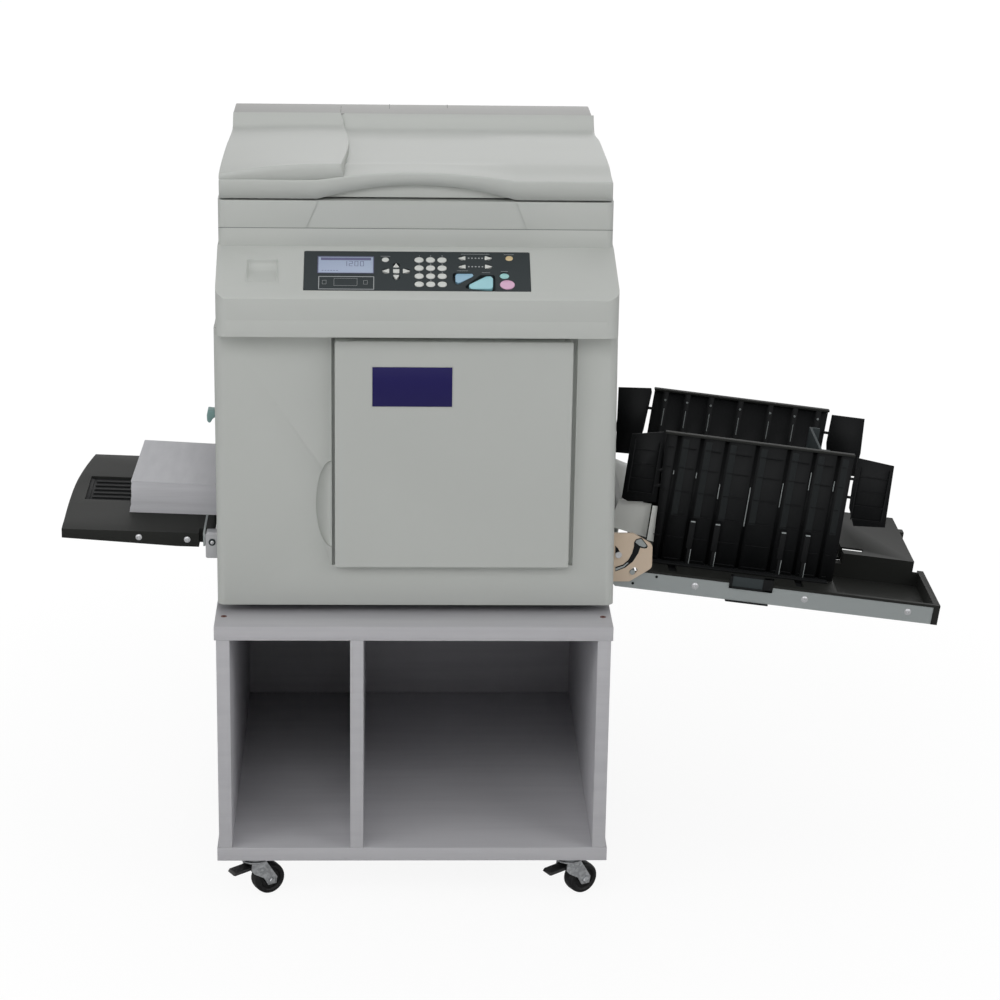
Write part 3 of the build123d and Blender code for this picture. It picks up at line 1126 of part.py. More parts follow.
def make_feed_tray():
    near_inner = FEED_NEAR + FEED_ARM_WIDTH + 1
    far_inner = FEED_FAR - FEED_ARM_WIDTH - 1
    middle = (FEED_NEAR + FEED_TRAY_FAR) / 2
    tip = (FEED_TRAY_OUTER - FEED_TRAY_BULGE, middle)
    outer_edge = ThreePointArc((FEED_TRAY_OUTER, FEED_TRAY_FAR), tip, (FEED_TRAY_OUTER, FEED_NEAR))
    rest = Polyline((FEED_TRAY_OUTER, FEED_NEAR), (FEED_TRAY_INNER, FEED_NEAR),
                    (FEED_TRAY_INNER, FEED_TRAY_FAR), (FEED_TRAY_OUTER, FEED_TRAY_FAR))
    plan = make_face([outer_edge, rest])
    slab = Pos(0, 0, TRAY_TOP - FEED_TRAY_ROOT_THICK) * extrude(plan, amount=FEED_TRAY_ROOT_THICK)
    low = TRAY_TOP - FEED_TRAY_ROOT_THICK - 1
    taper_start = FEED_TRAY_INNER - FEED_TRAY_ROOT_LENGTH
    taper_end = FEED_TRAY_OUTER - 2 * FEED_TRAY_BULGE
    under_outline = [(taper_start, low), (taper_end, low), (taper_end, TRAY_TOP - FEED_TRAY_TIP_THICK),
                     (taper_start, TRAY_TOP - FEED_TRAY_ROOT_THICK)]
    under = slab_xz(under_outline, FEED_NEAR - 1, FEED_TRAY_FAR + 1)
    tray = slab - under
    for y0, y1 in ((FEED_NEAR - 1, near_inner), (far_inner, FEED_TRAY_FAR + 1)):
        tray -= block(FEED_TRAY_INNER - FEED_TRAY_CUT_BACK, FEED_TRAY_INNER + 1, y0, y1, low, TRAY_TOP + 1)
    tray -= block(GRILLE_OUTER, GRILLE_INNER, GRILLE_NEAR, GRILLE_FAR, TRAY_TOP - GRILLE_DEPTH, TRAY_TOP + 1)
    pitch = (GRILLE_FAR - GRILLE_NEAR) / GRILLE_SLOTS
    for row in range(GRILLE_SLOTS):
        y = GRILLE_NEAR + (row + 0.5) * pitch
        tray -= block(GRILLE_OUTER + GRILLE_BORDER, GRILLE_INNER - GRILLE_BORDER, y - GRILLE_SLOT_WIDTH / 2,
                      y + GRILLE_SLOT_WIDTH / 2, low, TRAY_TOP)
    tongue = block(FEED_TRAY_INNER - 1, FEED_PIN_X, near_inner, far_inner,
                   FEED_PIN_Z - FEED_PIN_DROP, TRAY_TOP)
    tongue += rod_y(FEED_PIN_X, near_inner, far_inner, FEED_PIN_Z, FEED_PIN_DROP)
    tray += tongue
    bore = FEED_PIN_RADIUS + PIN_FIT
    tray -= rod_y(FEED_PIN_X, near_inner - 1, near_inner + FEED_PIN_LENGTH, FEED_PIN_Z, bore)
    tray -= rod_y(FEED_PIN_X, far_inner - FEED_PIN_LENGTH, far_inner + 1, FEED_PIN_Z, bore)
    parts_made["feed_tray"] = tray


def make_paper():
    half = PAPER_WIDTH / 2
    parts_made["paper_stack"] = block(PAPER_OUTER, PAPER_INNER, PAPER_MIDDLE - half, PAPER_MIDDLE + half,
                                      PAPER_FLOOR, PAPER_TOP)


def make_lever():
    x1 = -HALF_BODY - PART_GAP
    x0 = x1 - LEVER_HUB_WIDTH
    hub = rod_x(x0, x1, LEVER_Y, LEVER_Z, LEVER_HUB_RADIUS)
    arm = block(x0, x1, LEVER_Y - LEVER_REACH, LEVER_Y, LEVER_Z - LEVER_ARM_BELOW,
                LEVER_Z + LEVER_HUB_RADIUS - 1)
    arm = fillet(arm.edges().filter_by(Axis.X).sort_by(Axis.Y)[:2], LEVER_CORNER)
    shaft = rod_x(x1 - 1, WALL - HALF_BODY + LEVER_SHAFT_REACH, LEVER_Y, LEVER_Z, LEVER_SHAFT_RADIUS)
    parts_made["release_lever"] = hub + arm + shaft


# Delivery side

def arc_point(radius, degrees):
    angle = math.radians(degrees)
    return TRAY_PIVOT_X + radius * math.cos(angle), TRAY_PIVOT_Z + radius * math.sin(angle)


def arc_slot(half_width, start, end, y0, y1):
    """A slot that follows a circle about the tray's pivot line."""
    middle = (start + end) / 2
    outer = ThreePointArc(arc_point(SLOT_RADIUS + half_width, start),
                          arc_point(SLOT_RADIUS + half_width, middle),
                          arc_point(SLOT_RADIUS + half_width, end))
    inner = ThreePointArc(arc_point(SLOT_RADIUS - half_width, end),
                          arc_point(SLOT_RADIUS - half_width, middle),
                          arc_point(SLOT_RADIUS - half_width, start))
    band = make_face([outer, Line(outer @ 1, inner @ 0), inner, Line(inner @ 1, outer @ 0)])
    slot = Pos(0, y0, 0) * extrude(Plane.XZ * band, amount=-(y1 - y0))
    for angle in (start, end):
        x, z = arc_point(SLOT_RADIUS, angle)
        slot += rod_y(x, y0, y1, z, half_width)
    return slot


def tray_bracket():
    """The near bracket: a plate beside the body with an arc slot and the pivot bore."""
    y1 = RAIL_NEAR - BRACKET_GAP
    y0 = y1 - BRACKET_THICK
    x1 = HALF_BODY + BRACKET_REACH + BRACKET_TIP
    z0 = TRAY_PIVOT_Z - BRACKET_BELOW
    z1 = TRAY_PIVOT_Z + BRACKET_ABOVE
    outline = [(HALF_BODY, z0), (HALF_BODY + BRACKET_FOOT_LENGTH, z0), (x1, z0 + BRACKET_FOOT_CUT),
               (x1, z1 - BRACKET_TOP_CUT), (HALF_BODY + BRACKET_TOP_LENGTH, z1), (HALF_BODY, z1)]
    plate = slab_xz(outline, y0, y1)
    corners = plate.edges().filter_by(Axis.Y).group_by(Axis.X)
    plate = fillet(corners[-1] + corners[-2], BRACKET_CORNER)
    plate += block(HALF_BODY, HALF_BODY + WALL, y0, y0 + BRACKET_FLANGE, z0, z1)
    plate -= rod_y(TRAY_PIVOT_X, y0 - 1, y1 + 1, TRAY_PIVOT_Z, TRAY_PIN_RADIUS)
    plate -= arc_slot(SLOT_STUD_RADIUS + PART_GAP, SLOT_STUD_ANGLE, SLOT_STUD_ANGLE + TRAY_TILT,
                      y0 - 1, y1 + 1)
    return plate


def make_brackets():
    near = tray_bracket()
    middle = (RAIL_NEAR + RAIL_FAR) / 2
    far = mirror(near, Plane.XZ.offset(-middle))
    parts_made["tray_brackets"] = group(near, far)


def tray_rail():
    """The near rail of the tray frame in the level frame, with its ear and stud."""
    y0 = RAIL_NEAR
    y1 = RAIL_NEAR + RAIL_SHEET
    foot = RAIL_TOP - RAIL_HEIGHT
    rail = block(RAIL_START, RAIL_END, y0, y1, foot, RAIL_TOP)
    ear_outline = [(-RAIL_EAR / 2, foot + RAIL_EAR_CUT), (RAIL_START + 1, foot),
                   (RAIL_START + RAIL_EAR_LAP, foot), (RAIL_EAR, RAIL_EAR), (-RAIL_EAR, RAIL_EAR)]
    rail += slab_xz(ear_outline, y0, y1)
    lip = block(RAIL_START, RAIL_END, y0, y0 + RAIL_LIP, foot, foot + RAIL_SHEET)
    rail += lip
    rail -= rod_y(0, y0 - 1, y1 + 1, 0, TRAY_PIN_RADIUS + PIN_FIT)
    rail -= block(*RAIL_NOTCH, y0 - 1, y1 + 1, RAIL_TOP - RAIL_NOTCH_DEPTH, RAIL_TOP + 1)
    angle = math.radians(SLOT_STUD_ANGLE + TRAY_TILT)
    stud_y = RAIL_NEAR - BRACKET_GAP - BRACKET_THICK - 2
    rail += rod_y(SLOT_RADIUS * math.cos(angle), stud_y, y1, SLOT_RADIUS * math.sin(angle), SLOT_STUD_RADIUS)
    return rail


def make_tray_frame():
    near = tray_rail()
    middle = (RAIL_NEAR + RAIL_FAR) / 2
    far = mirror(near, Plane.XZ.offset(-middle))
    foot = RAIL_TOP - RAIL_HEIGHT
    frame = near + far
    for u in (RAIL_START + CROSS_BAR_FROM_START, RAIL_END - CROSS_BAR_FROM_END):
        frame += block(u, u + CROSS_BAR_WIDTH, RAIL_NEAR + 1, RAIL_FAR - 1, foot, foot + RAIL_SHEET)
    parts_made["tray_frame"] = on_tray(frame)


def fence_slots():
    """Where the fences' feet run in the bed, at both ends of their travel."""
    half = FENCE_FOOT / 2 + FENCE_PLAY
    near_y = (FENCE_NEAR_OUTER + FENCE_NEAR_INNER) / 2
    far_y = (FENCE_FAR_INNER + FENCE_FAR_OUTER) / 2
    for u in FENCE_FOOT_PLACES:
        yield u - half, u + half, near_y - FENCE_WIDER - half, near_y + FENCE_NARROWER + half
        yield u - half, u + half, far_y - FENCE_NARROWER - half, far_y + FENCE_WIDER + half


def make_tray_bed():
    """A flat bed, then a deep pocket at the near half of its end and a raised platform behind it."""
    y0 = RAIL_NEAR - BED_OVERHANG
    y1 = RAIL_FAR + BED_OVERHANG
    inner = RAIL_SHEET + PIN_FIT
    pocket_near = RAIL_NEAR + inner
    floor = BED_TOP - BED_SHEET
    pocket_foot = POCKET_FLOOR - BED_WALL
    bed = block(BED_START, RAIL_END + 1, y0, y1, RAIL_TOP, BED_TOP)
    bed += block(BED_START, RAIL_END + 1, pocket_near, pocket_near + BED_WALL, RAIL_TOP - BED_SKIRT,
                 floor + 1)
    bed += block(BED_START, RAIL_END + 1, RAIL_FAR - inner - BED_WALL, RAIL_FAR - inner, RAIL_TOP - BED_SKIRT,
                 floor + 1)
    bed += block(POCKET_START - BED_WALL, RAIL_END + 1, pocket_near, PLATFORM_NEAR + BED_WALL,
                 pocket_foot, floor + 1)
    bed += block(PLATFORM_START, BED_FAR_END, PLATFORM_NEAR, y1, floor, PLATFORM_TOP)
    bed -= block(POCKET_START, RAIL_END, pocket_near + BED_WALL, PLATFORM_NEAR, POCKET_FLOOR, BED_TOP + 1)
    bed -= block(PLATFORM_START + BED_WALL, BED_FAR_END - BED_WALL, PLATFORM_NEAR + BED_WALL, y1 - BED_WALL,
                 floor - 1, PLATFORM_TOP - BED_WALL)
    bed -= block(BED_FAR_END, BED_END, PLATFORM_NEAR + BED_WALL, END_CAP_NEAR, floor - 1, PLATFORM_TOP + 1)
    rail_foot = RAIL_TOP - RAIL_HEIGHT
    bed += block(RAIL_END, BED_END, y0, END_BLOCK_FAR, rail_foot, BED_TOP)
    bed += block(RAIL_END, BED_END, END_CAP_NEAR, y1, rail_foot, BED_TOP)
    bed += block(BED_FAR_END - BED_WALL, BED_FAR_END, PLATFORM_NEAR, END_CAP_NEAR + 1,
                 rail_foot + BED_SKIRT, floor + 1)
    for u0, u1, v0, v1 in fence_slots():
        bed -= block(u0, u1, v0, v1, floor - 1, BED_TOP + 1)
    half = FENCE_FOOT / 2 + FENCE_PLAY
    middle = (FENCE_NEAR_INNER + FENCE_FAR_INNER) / 2
    stop_foot = STOP_START + STOP_THICK / 2
    bed -= block(stop_foot - STOP_IN - half, stop_foot + STOP_OUT + half, middle - half, middle + half,
                 floor - 1, PLATFORM_TOP + 1)
    parts_made["tray_bed"] = on_tray(bed)


def fence(y_inner, y_outer):
    """One fence: a thin inner wall, ribs behind it, a wing at each end and two feet."""
    out = 1 if y_outer > y_inner else -1
    sheet = y_inner + out * FENCE_SHEET
    foot = BED_TOP + FENCE_PLAY
    wall = block(FENCE_START, FENCE_END, y_inner, sheet, foot, FENCE_TOP)
    wall += block(FENCE_START, FENCE_END, y_inner, y_outer, foot, foot + FENCE_SHEET)
    wall += block(FENCE_START, FENCE_END, y_inner, y_outer - out * FENCE_CROWN_INSET,
                  FENCE_TOP - FENCE_SHEET, FENCE_TOP)
    step = (FENCE_END - FENCE_START - FENCE_RIB) / (FENCE_RIB_COUNT - 1)
    for n in range(FENCE_RIB_COUNT):
        u = FENCE_START + n * step
        wall += block(u, u + FENCE_RIB, y_inner, y_outer, foot, FENCE_TOP)
    for u0, u1 in ((WING_START, FENCE_START - WING_LINK), (FENCE_END + WING_LINK, WING_END)):
        wall += block(u0, u1, y_inner, sheet, WING_BOTTOM, WING_TOP)
        wall += block(u0, u0 + FENCE_RIB, y_inner, y_outer, WING_BOTTOM, WING_TOP)
        wall += block(u1 - FENCE_RIB, u1, y_inner, y_outer, WING_BOTTOM, WING_TOP)
    for u0 in (FENCE_START - WING_LINK, FENCE_END):
        for v in (WING_BOTTOM + WING_LINK_INSET, WING_TOP - WING_LINK_INSET - WING_LINK_HEIGHT):
            wall += block(u0 - 1, u0 + WING_LINK + 1, y_inner, sheet, v, v + WING_LINK_HEIGHT)
    middle = (y_inner + y_outer) / 2
    half = FENCE_FOOT / 2
    for u in FENCE_FOOT_PLACES:
        wall += block(u - half, u + half, middle - half, middle + half, BED_TOP - BED_SHEET, foot + 1)
    return wall


def make_fences():
    parts_made["near_fence"] = on_tray(fence(FENCE_NEAR_INNER, FENCE_NEAR_OUTER))
    parts_made["far_fence"] = on_tray(fence(FENCE_FAR_INNER, FENCE_FAR_OUTER))
    middle = (FENCE_NEAR_INNER + FENCE_FAR_INNER) / 2
    half = STOP_WIDTH / 2
    foot = PLATFORM_TOP + STOP_CLEARANCE
    stop = block(STOP_START, STOP_START + FENCE_SHEET, middle - half, middle + half, foot, STOP_TOP)
    back = STOP_START + STOP_THICK
    rib_outline = [(STOP_START, foot), (back + STOP_TOE, foot), (back, foot + STOP_TOE_HEIGHT),
                   (back, STOP_TOP - STOP_CROWN), (STOP_START, STOP_TOP)]
    stop += slab_xz(rib_outline, middle - FENCE_RIB, middle + FENCE_RIB)
    for side in (-1, 1):
        edge = middle + side * half
        stop += block(STOP_START, STOP_START + STOP_THICK, edge - side * FENCE_RIB, edge, foot, STOP_TOP)
    foot_middle = STOP_START + STOP_THICK / 2
    half_foot = FENCE_FOOT / 2
    stop += block(foot_middle - half_foot, foot_middle + half_foot, middle - half_foot, middle + half_foot,
                  BED_TOP - BED_SHEET, foot + 1)
    parts_made["end_stop"] = on_tray(stop)


def make_all():
    make_castors()
    make_stand()
    make_base()
    make_front_cover()
    make_side_covers()
    make_rear_cover()
    make_hood()
    make_controls()
    make_door()
    make_pins()
    make_scanner()
    make_lid()
    make_inner_frame()
    make_rollers()
    make_feed_table()
    make_feed_tray()
    make_paper()
    make_lever()
    make_brackets()
    make_tray_frame()
    make_tray_bed()
    make_fences()


make_all()
boxes = [piece.bounding_box() for piece in parts_made.values()]
ORIGIN_X = (min(b.min.X for b in boxes) + max(b.max.X for b in boxes)) / 2
ORIGIN_Y = (min(b.min.Y for b in boxes) + max(b.max.Y for b in boxes)) / 2
ORIGIN_Z = min(b.min.Z for b in boxes)

os.makedirs("parts", exist_ok=True)
for node_name, piece in parts_made.items():
    export_step(Pos(-ORIGIN_X, -ORIGIN_Y, -ORIGIN_Z) * piece, "parts/" + node_name + ".step")
print("nodes", len(parts_made), "origin", round(ORIGIN_X, 3), round(ORIGIN_Y, 3), round(ORIGIN_Z, 3))
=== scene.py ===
# %% [markdown]
# # A digital duplicator on its castor stand
#
# The machine copies an original on its glass, cuts a stencil, wraps it round a drum and prints
# sheets that run from the feed tray on the left to the delivery tray on the right. Every moving
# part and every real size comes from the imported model, which is loaded first. This script gives
# those parts their finishes and swaps the plain ones for detailed ones.

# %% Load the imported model
import bpy
import bmesh
import json
import math
from mathutils import Matrix, Vector


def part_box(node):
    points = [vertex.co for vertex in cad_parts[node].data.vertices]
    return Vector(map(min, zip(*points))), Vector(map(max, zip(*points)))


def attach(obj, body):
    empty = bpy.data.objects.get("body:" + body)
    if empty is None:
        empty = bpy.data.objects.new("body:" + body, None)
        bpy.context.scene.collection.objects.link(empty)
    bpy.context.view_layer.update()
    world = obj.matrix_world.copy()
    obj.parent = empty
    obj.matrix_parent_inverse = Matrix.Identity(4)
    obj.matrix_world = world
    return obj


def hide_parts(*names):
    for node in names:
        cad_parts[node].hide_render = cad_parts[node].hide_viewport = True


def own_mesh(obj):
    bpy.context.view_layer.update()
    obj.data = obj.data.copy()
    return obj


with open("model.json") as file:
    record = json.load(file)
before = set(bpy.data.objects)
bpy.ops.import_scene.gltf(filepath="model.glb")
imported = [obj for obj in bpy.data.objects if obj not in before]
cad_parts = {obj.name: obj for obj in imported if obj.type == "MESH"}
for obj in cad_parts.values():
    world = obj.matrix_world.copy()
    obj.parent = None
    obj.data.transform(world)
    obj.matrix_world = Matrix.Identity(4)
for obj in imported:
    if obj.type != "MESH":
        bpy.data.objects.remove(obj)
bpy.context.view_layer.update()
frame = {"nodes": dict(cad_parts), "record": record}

# %% [markdown]
# ## One set of measurements
#
# Makers measure a machine from its own stand: across from the stand's middle, back from its
# front edge and up from the floor, in millimetres. Blender works in metres from the row's
# origin. One matrix turns the first into the second, so every shape below can be drawn in
# millimetres on the machine and placed by the same matrix at the end.

# %% The way from machine millimetres to the row's metres
board_low, board_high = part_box("stand_top")
HOME = Vector(((board_low.x + board_high.x) / 2, board_low.y, 0))
TO_ROW = Matrix.Translation(HOME) @ Matrix.Scale(0.001, 4)
FROM_ROW = TO_ROW.inverted()
SLOPE_RISE, SLOPE_RUN, SLOPE_FOOT = 53, 92, (0, 18, 964)
ON_SLOPE = Matrix.Translation(SLOPE_FOOT) @ Matrix.Rotation(math.atan2(SLOPE_RISE, SLOPE_RUN), 4, "X")
TRAY_TILT = math.radians(7.2)
TRAY_PIVOT = (313, 0, 536)
ON_TRAY = Matrix.Translation(TRAY_PIVOT) @ Matrix.Rotation(TRAY_TILT, 4, "Y")


def at(x, y, z):
    """A place on the machine in millimetres, as Blender's place in metres."""
    return TO_ROW @ Vector((x, y, z))


print("stand centre in the row", [round(v, 4) for v in HOME])

# %% [markdown]
# ## The camera first
#
# The picture is taken from about 4.5 m away, 0.9 m above the lid, with a long lens, which keeps
# the upright edges nearly parallel. The camera is made before anything else. Its turns are written
# as right, down and forward directions, which is easier to check than three angles.

# %% Camera
PITCH, YAW, ROLL = 0.328, 0.042, -0.017
EYE = (-46.7, -4100.4, 2056.8)
FOCAL_PIXELS, PICTURE_PIXELS, SENSOR_WIDTH = 2929.6, 1000, 36
forward = Vector((math.sin(YAW) * math.cos(PITCH), math.cos(YAW) * math.cos(PITCH), -math.sin(PITCH)))
level_right = Vector((math.cos(YAW), -math.sin(YAW), 0))
level_down = forward.cross(level_right)
right = math.cos(ROLL) * level_right + math.sin(ROLL) * level_down
down = -math.sin(ROLL) * level_right + math.cos(ROLL) * level_down

camera_data = bpy.data.cameras.new("camera")
camera_data.sensor_width = SENSOR_WIDTH
camera_data.lens = FOCAL_PIXELS / PICTURE_PIXELS * SENSOR_WIDTH
camera_data.clip_end = 50
camera = bpy.data.objects.new("camera", camera_data)
bpy.context.collection.objects.link(camera)
turn = Matrix((right, -down, -forward)).transposed().to_4x4()
camera.matrix_world = Matrix.Translation(at(*EYE)) @ turn
bpy.context.scene.camera = camera
print("camera", [round(v, 3) for v in camera.matrix_world.translation])

# %% [markdown]
# ## Shader sums in plain Python
#
# A finish is a tree of nodes, and joining nodes one by one is slow to read. `Signal` wraps one
# output, so that `1 - dust * 0.3` adds the Math nodes by itself. `Finish` holds the material and
# has one method that adds any other node. Only values that change over a surface go through
# nodes. A value that is the same everywhere is written on the shader's own socket.

# %% Signal and Finish


class Signal:
    """One output of a shader node that ordinary sums can use."""

    def __init__(self, finish, socket):
        self.finish = finish
        self.socket = socket

    def sum(self, operation, first, second):
        return self.finish.add("ShaderNodeMath", {"operation": operation}, {0: first, 1: second})

    def __add__(self, other):
        return self.sum("ADD", self, other)

    def __radd__(self, other):
        return self.sum("ADD", other, self)

    def __sub__(self, other):
        return self.sum("SUBTRACT", self, other)

    def __rsub__(self, other):
        return self.sum("SUBTRACT", other, self)

    def __mul__(self, other):
        return self.sum("MULTIPLY", self, other)

    def __rmul__(self, other):
        return self.sum("MULTIPLY", other, self)


class Finish:
    """A material that is built up node by node."""

    def __init__(self, name, **uniform):
        self.material = bpy.data.materials.new(name)
        self.material.use_nodes = True
        self.nodes = self.material.node_tree.nodes
        self.shader = self.nodes["Principled BSDF"]
        self.where = self.add("ShaderNodeTexCoord", output="Object")
        for socket, value in uniform.items():
            self.shader.inputs[socket.replace("_", " ")].default_value = value

    def add(self, kind, settings=None, sockets=None, output=0):
        node = self.nodes.new(kind)
        for setting, value in (settings or {}).items():
            if setting == "stops":
                while len(node.color_ramp.elements) < len(value):
                    node.color_ramp.elements.new(0.5)
                for element, (place, colour) in zip(node.color_ramp.elements, value):
                    element.position = place
                    element.color = colour
            else:
                setattr(node, setting, value)
        self.fill(node, sockets or {})
        return Signal(self, node.outputs[output])

    def fill(self, node, sockets):
        for place, value in sockets.items():
            if isinstance(value, Signal):
                self.material.node_tree.links.new(value.socket, node.inputs[place])
            else:
                node.inputs[place].default_value = value

    def noise(self, scale, detail=2.0, stretch=(1, 1, 1), roughness=0.5):
        """A cloudy value from 0 to 1. Scale is in cycles a metre, and stretch lengthens it."""
        vector = self.add("ShaderNodeVectorMath", {"operation": "MULTIPLY"}, {0: self.where, 1: stretch})
        return self.add("ShaderNodeTexNoise", None, {"Vector": vector, "Scale": scale, "Detail": detail,
                                                     "Roughness": roughness})

    def blend(self, share, first, second):
        """A colour between two others."""
        return self.add("ShaderNodeMix", {"data_type": "RGBA"}, {0: share, 6: first, 7: second}, output=2)

    def steps(self, value, *stops):
        return self.add("ShaderNodeValToRGB", {"stops": stops}, {0: value})

    def relief(self, height, distance):
        """Bumps the surface by height, in metres at a height of 1."""
        normal = self.add("ShaderNodeBump", None, {"Height": height, "Distance": distance, "Strength": 1.0})
        self.fill(self.shader, {"Normal": normal})

    def coat(self, **sockets):
        self.fill(self.shader, {name.replace("_", " "): value for name, value in sockets.items()})


def paint(red, green, blue):
    """A colour as a screen shows it, from 0 to 255, turned into light."""
    values = [channel / 255 for channel in (red, green, blue)]
    return (*[v / 12.92 if v <= 0.04045 else ((v + 0.055) / 1.055) ** 2.4 for v in values], 1.0)


def shade(colour, share):
    return (*[min(1.0, channel * share) for channel in colour[:3]], 1.0)


# %% [markdown]
# ## Plastic finishes
#
# The casing, trays and keys are injection-moulded. Their steel moulds are etched, which leaves a
# fine pebble grain, and big mouldings vary a little in tone and sheen where they cooled at
# different speeds. A photo texture would do, but noise at the true sizes stays sharp at any
# distance: a slow noise for tone, a fine one for the grain.

# %% Moulded plastic


def moulded(name, colour, roughness=0.5, grain=0.9, depth=0.02, tone=0.03, **uniform):
    """Etched plastic: grain is the pebble size in mm, and depth the height of the pebbles."""
    finish = Finish(name, **uniform)
    slow = finish.noise(4, 3)
    pebbles = finish.noise(1000 / grain, 1)
    finish.coat(Base_Color=finish.blend(slow, shade(colour, 1 - tone), shade(colour, 1 + tone)),
                Roughness=roughness - 0.06 + slow * 0.08 + pebbles * 0.04)
    finish.relief(pebbles, depth / 1000)
    return finish.material


FINISH = {
    "casing_grey": moulded("casing_grey", paint(199, 202, 198), 0.5),
    "casing_light": moulded("casing_light", paint(203, 206, 202), 0.48),
    "casing_shade": moulded("casing_shade", paint(186, 186, 184), 0.55),
    # Dark grey for seams: a painted shadow in place of the fine gaps between mouldings.
    "seam_painted_shadow": moulded("seam_painted_shadow", paint(122, 126, 124), 0.6),
    "panel_black": moulded("panel_black", paint(54, 60, 62), 0.6, 0.5, 0.008, Specular_IOR_Level=0.2),
    "tray_black": moulded("tray_black", paint(31, 32, 30), 0.6, 1.1, 0.03, 0.06, Specular_IOR_Level=0.2),
    "fence_black": moulded("fence_black", paint(23, 24, 25), 0.6, 1.1, 0.03, 0.06, Specular_IOR_Level=0.12),
    "carriage_black": moulded("carriage_black", paint(38, 38, 40), 0.6, 1.0, 0.03),
    "pedal_black": moulded("pedal_black", paint(30, 30, 31), 0.45, 0.8, 0.02),
    "foot_rubber": moulded("foot_rubber", paint(34, 34, 35), 0.8, 1.5, 0.05),
    "wheel_black": moulded("wheel_black", paint(20, 20, 21), 0.5, 2.0, 0.05, 0.08, Specular_IOR_Level=0.25),
    # Slightly paler black for the strips beside each channel: painted light on the fence panels.
    "fence_painted_light": moulded("fence_painted_light", paint(32, 35, 36), 0.6, 1.1, 0.03, 0.06, Specular_IOR_Level=0.15),
    "roller_rubber": moulded("roller_rubber", paint(48, 48, 50), 0.75, 0.7, 0.03),
    "key_white": moulded("key_white", paint(226, 228, 224), 0.38, 0.4, 0.004),
    "key_blue": moulded("key_blue", paint(146, 190, 216), 0.25, 0.5, 0.003, 0.02, Coat_Weight=0.5),
    "key_cyan": moulded("key_cyan", paint(158, 216, 226), 0.25, 0.5, 0.003, 0.02, Coat_Weight=0.5),
    "key_pink": moulded("key_pink", paint(230, 180, 212), 0.25, 0.5, 0.003, 0.02, Coat_Weight=0.5),
    "key_teal": moulded("key_teal", paint(156, 214, 212), 0.25, 0.5, 0.003, 0.02, Coat_Weight=0.5),
    "key_orange": moulded("key_orange", paint(226, 200, 150), 0.25, 0.5, 0.003, 0.02, Coat_Weight=0.5),
    "lever_teal": moulded("lever_teal", paint(126, 158, 156), 0.45, 0.8, 0.02),
    "bracket_cream": moulded("bracket_cream", paint(216, 196, 174), 0.45, 0.9, 0.02, 0.05),
    "badge_violet": moulded("badge_violet", paint(24, 17, 86), 0.35, 0.6, 0.004, 0.04, Specular_IOR_Level=0.3),
}
print("plastic finishes", len(FINISH))

# %% [markdown]
# ## Metal
#
# Metal shows its making. Zinc plate has a spangle of crystals, and drawn steel has fine lines
# along its length. A noise that is stretched along one axis gives lines, and a cell pattern
# gives spangle. The painted rails are plastic-like with a little metal in them.

# %% Metals


def drawn_metal(name, colour, roughness, along, line=900):
    """Metal with fine lines along one axis."""
    finish = Finish(name, Metallic=1.0)
    stretch = [0.02 if axis == along else 1.0 for axis in "XYZ"]
    lines = finish.noise(line, 2, stretch)
    cloud = finish.noise(12, 3)
    finish.coat(Base_Color=finish.blend(cloud, shade(colour, 0.92), shade(colour, 1.06)),
                Roughness=roughness + lines * 0.14 - cloud * 0.08)
    finish.relief(lines, 0.00001)
    return finish.material


def zinc_plate():
    finish = Finish("zinc", Metallic=1.0)
    cells = finish.add("ShaderNodeTexVoronoi", None, {"Vector": finish.where, "Scale": 260.0}, "Color")
    patches = finish.add("ShaderNodeSeparateColor", None, {0: cells})
    cloud = finish.noise(30, 3)
    finish.coat(Base_Color=finish.blend(patches, paint(150, 152, 154), paint(186, 188, 190)),
                Roughness=0.32 + cloud * 0.2)
    finish.relief(patches, 0.00001)
    return finish.material


FINISH["zinc"] = zinc_plate()
FINISH["pin_steel"] = drawn_metal("pin_steel", paint(196, 197, 199), 0.25, "Y")
FINISH["table_steel"] = drawn_metal("table_steel", paint(190, 191, 193), 0.32, "Y")
FINISH["drum_steel"] = drawn_metal("drum_steel", paint(170, 174, 178), 0.28, "Y", 600)
FINISH["rail_grey"] = moulded("rail_grey", paint(160, 166, 166), 0.34, 0.5, 0.006, 0.03, Metallic=0.35)
FINISH["frame_steel"] = moulded("frame_steel", paint(132, 134, 136), 0.45, 1.2, 0.02, 0.05)
FINISH["screw_brown"] = moulded("screw_brown", paint(110, 70, 62), 0.4, 0.8, 0.01)
print("plastic and metal finishes", len(FINISH))

# %% [markdown]
# ## Melamine board
#
# The stand's board is faced with paper that is printed like pale ash, so its grain runs one way
# and has three sizes: a slow drift, long pores and fine lines. A photo of wood would repeat. Three
# noises that are stretched along the board give the same without a seam.

# %% Melamine board


def board(name):
    """White ash print: a slow drift, long pores and a fine line between them."""
    finish = Finish(name)
    drift = finish.noise(3, 2, (0.25, 1, 1.6))
    pores = finish.noise(70, 4, (0.05, 0.6, 1), 0.62)
    lines = finish.noise(420, 2, (0.02, 0.5, 1))
    veins = finish.steps(pores, (0.42, (0, 0, 0, 1)), (0.62, (1, 1, 1, 1)))
    base = finish.blend(drift, paint(196, 196, 200), paint(202, 201, 204))
    print_layer = finish.blend(veins * 0.22, base, paint(178, 177, 183))
    finish.coat(Base_Color=print_layer, Roughness=0.42 + lines * 0.14)
    finish.relief(lines * 0.5 + veins * 0.5, 0.00004)
    return finish.material


FINISH["stand_board"] = board("stand_board")
print("board finish", FINISH["stand_board"].name)

# %% [markdown]
# ## Paper, pad, glass and display
#
# A ream shows its sheets as fine level lines at its edges only, so the noise is squeezed upwards
# and not across. The glass is nearly clear and a little green. The display has to look lit in a
# bright room, so it glows weakly by itself, with a dot grid over it.

# %% Paper, pad, glass and display


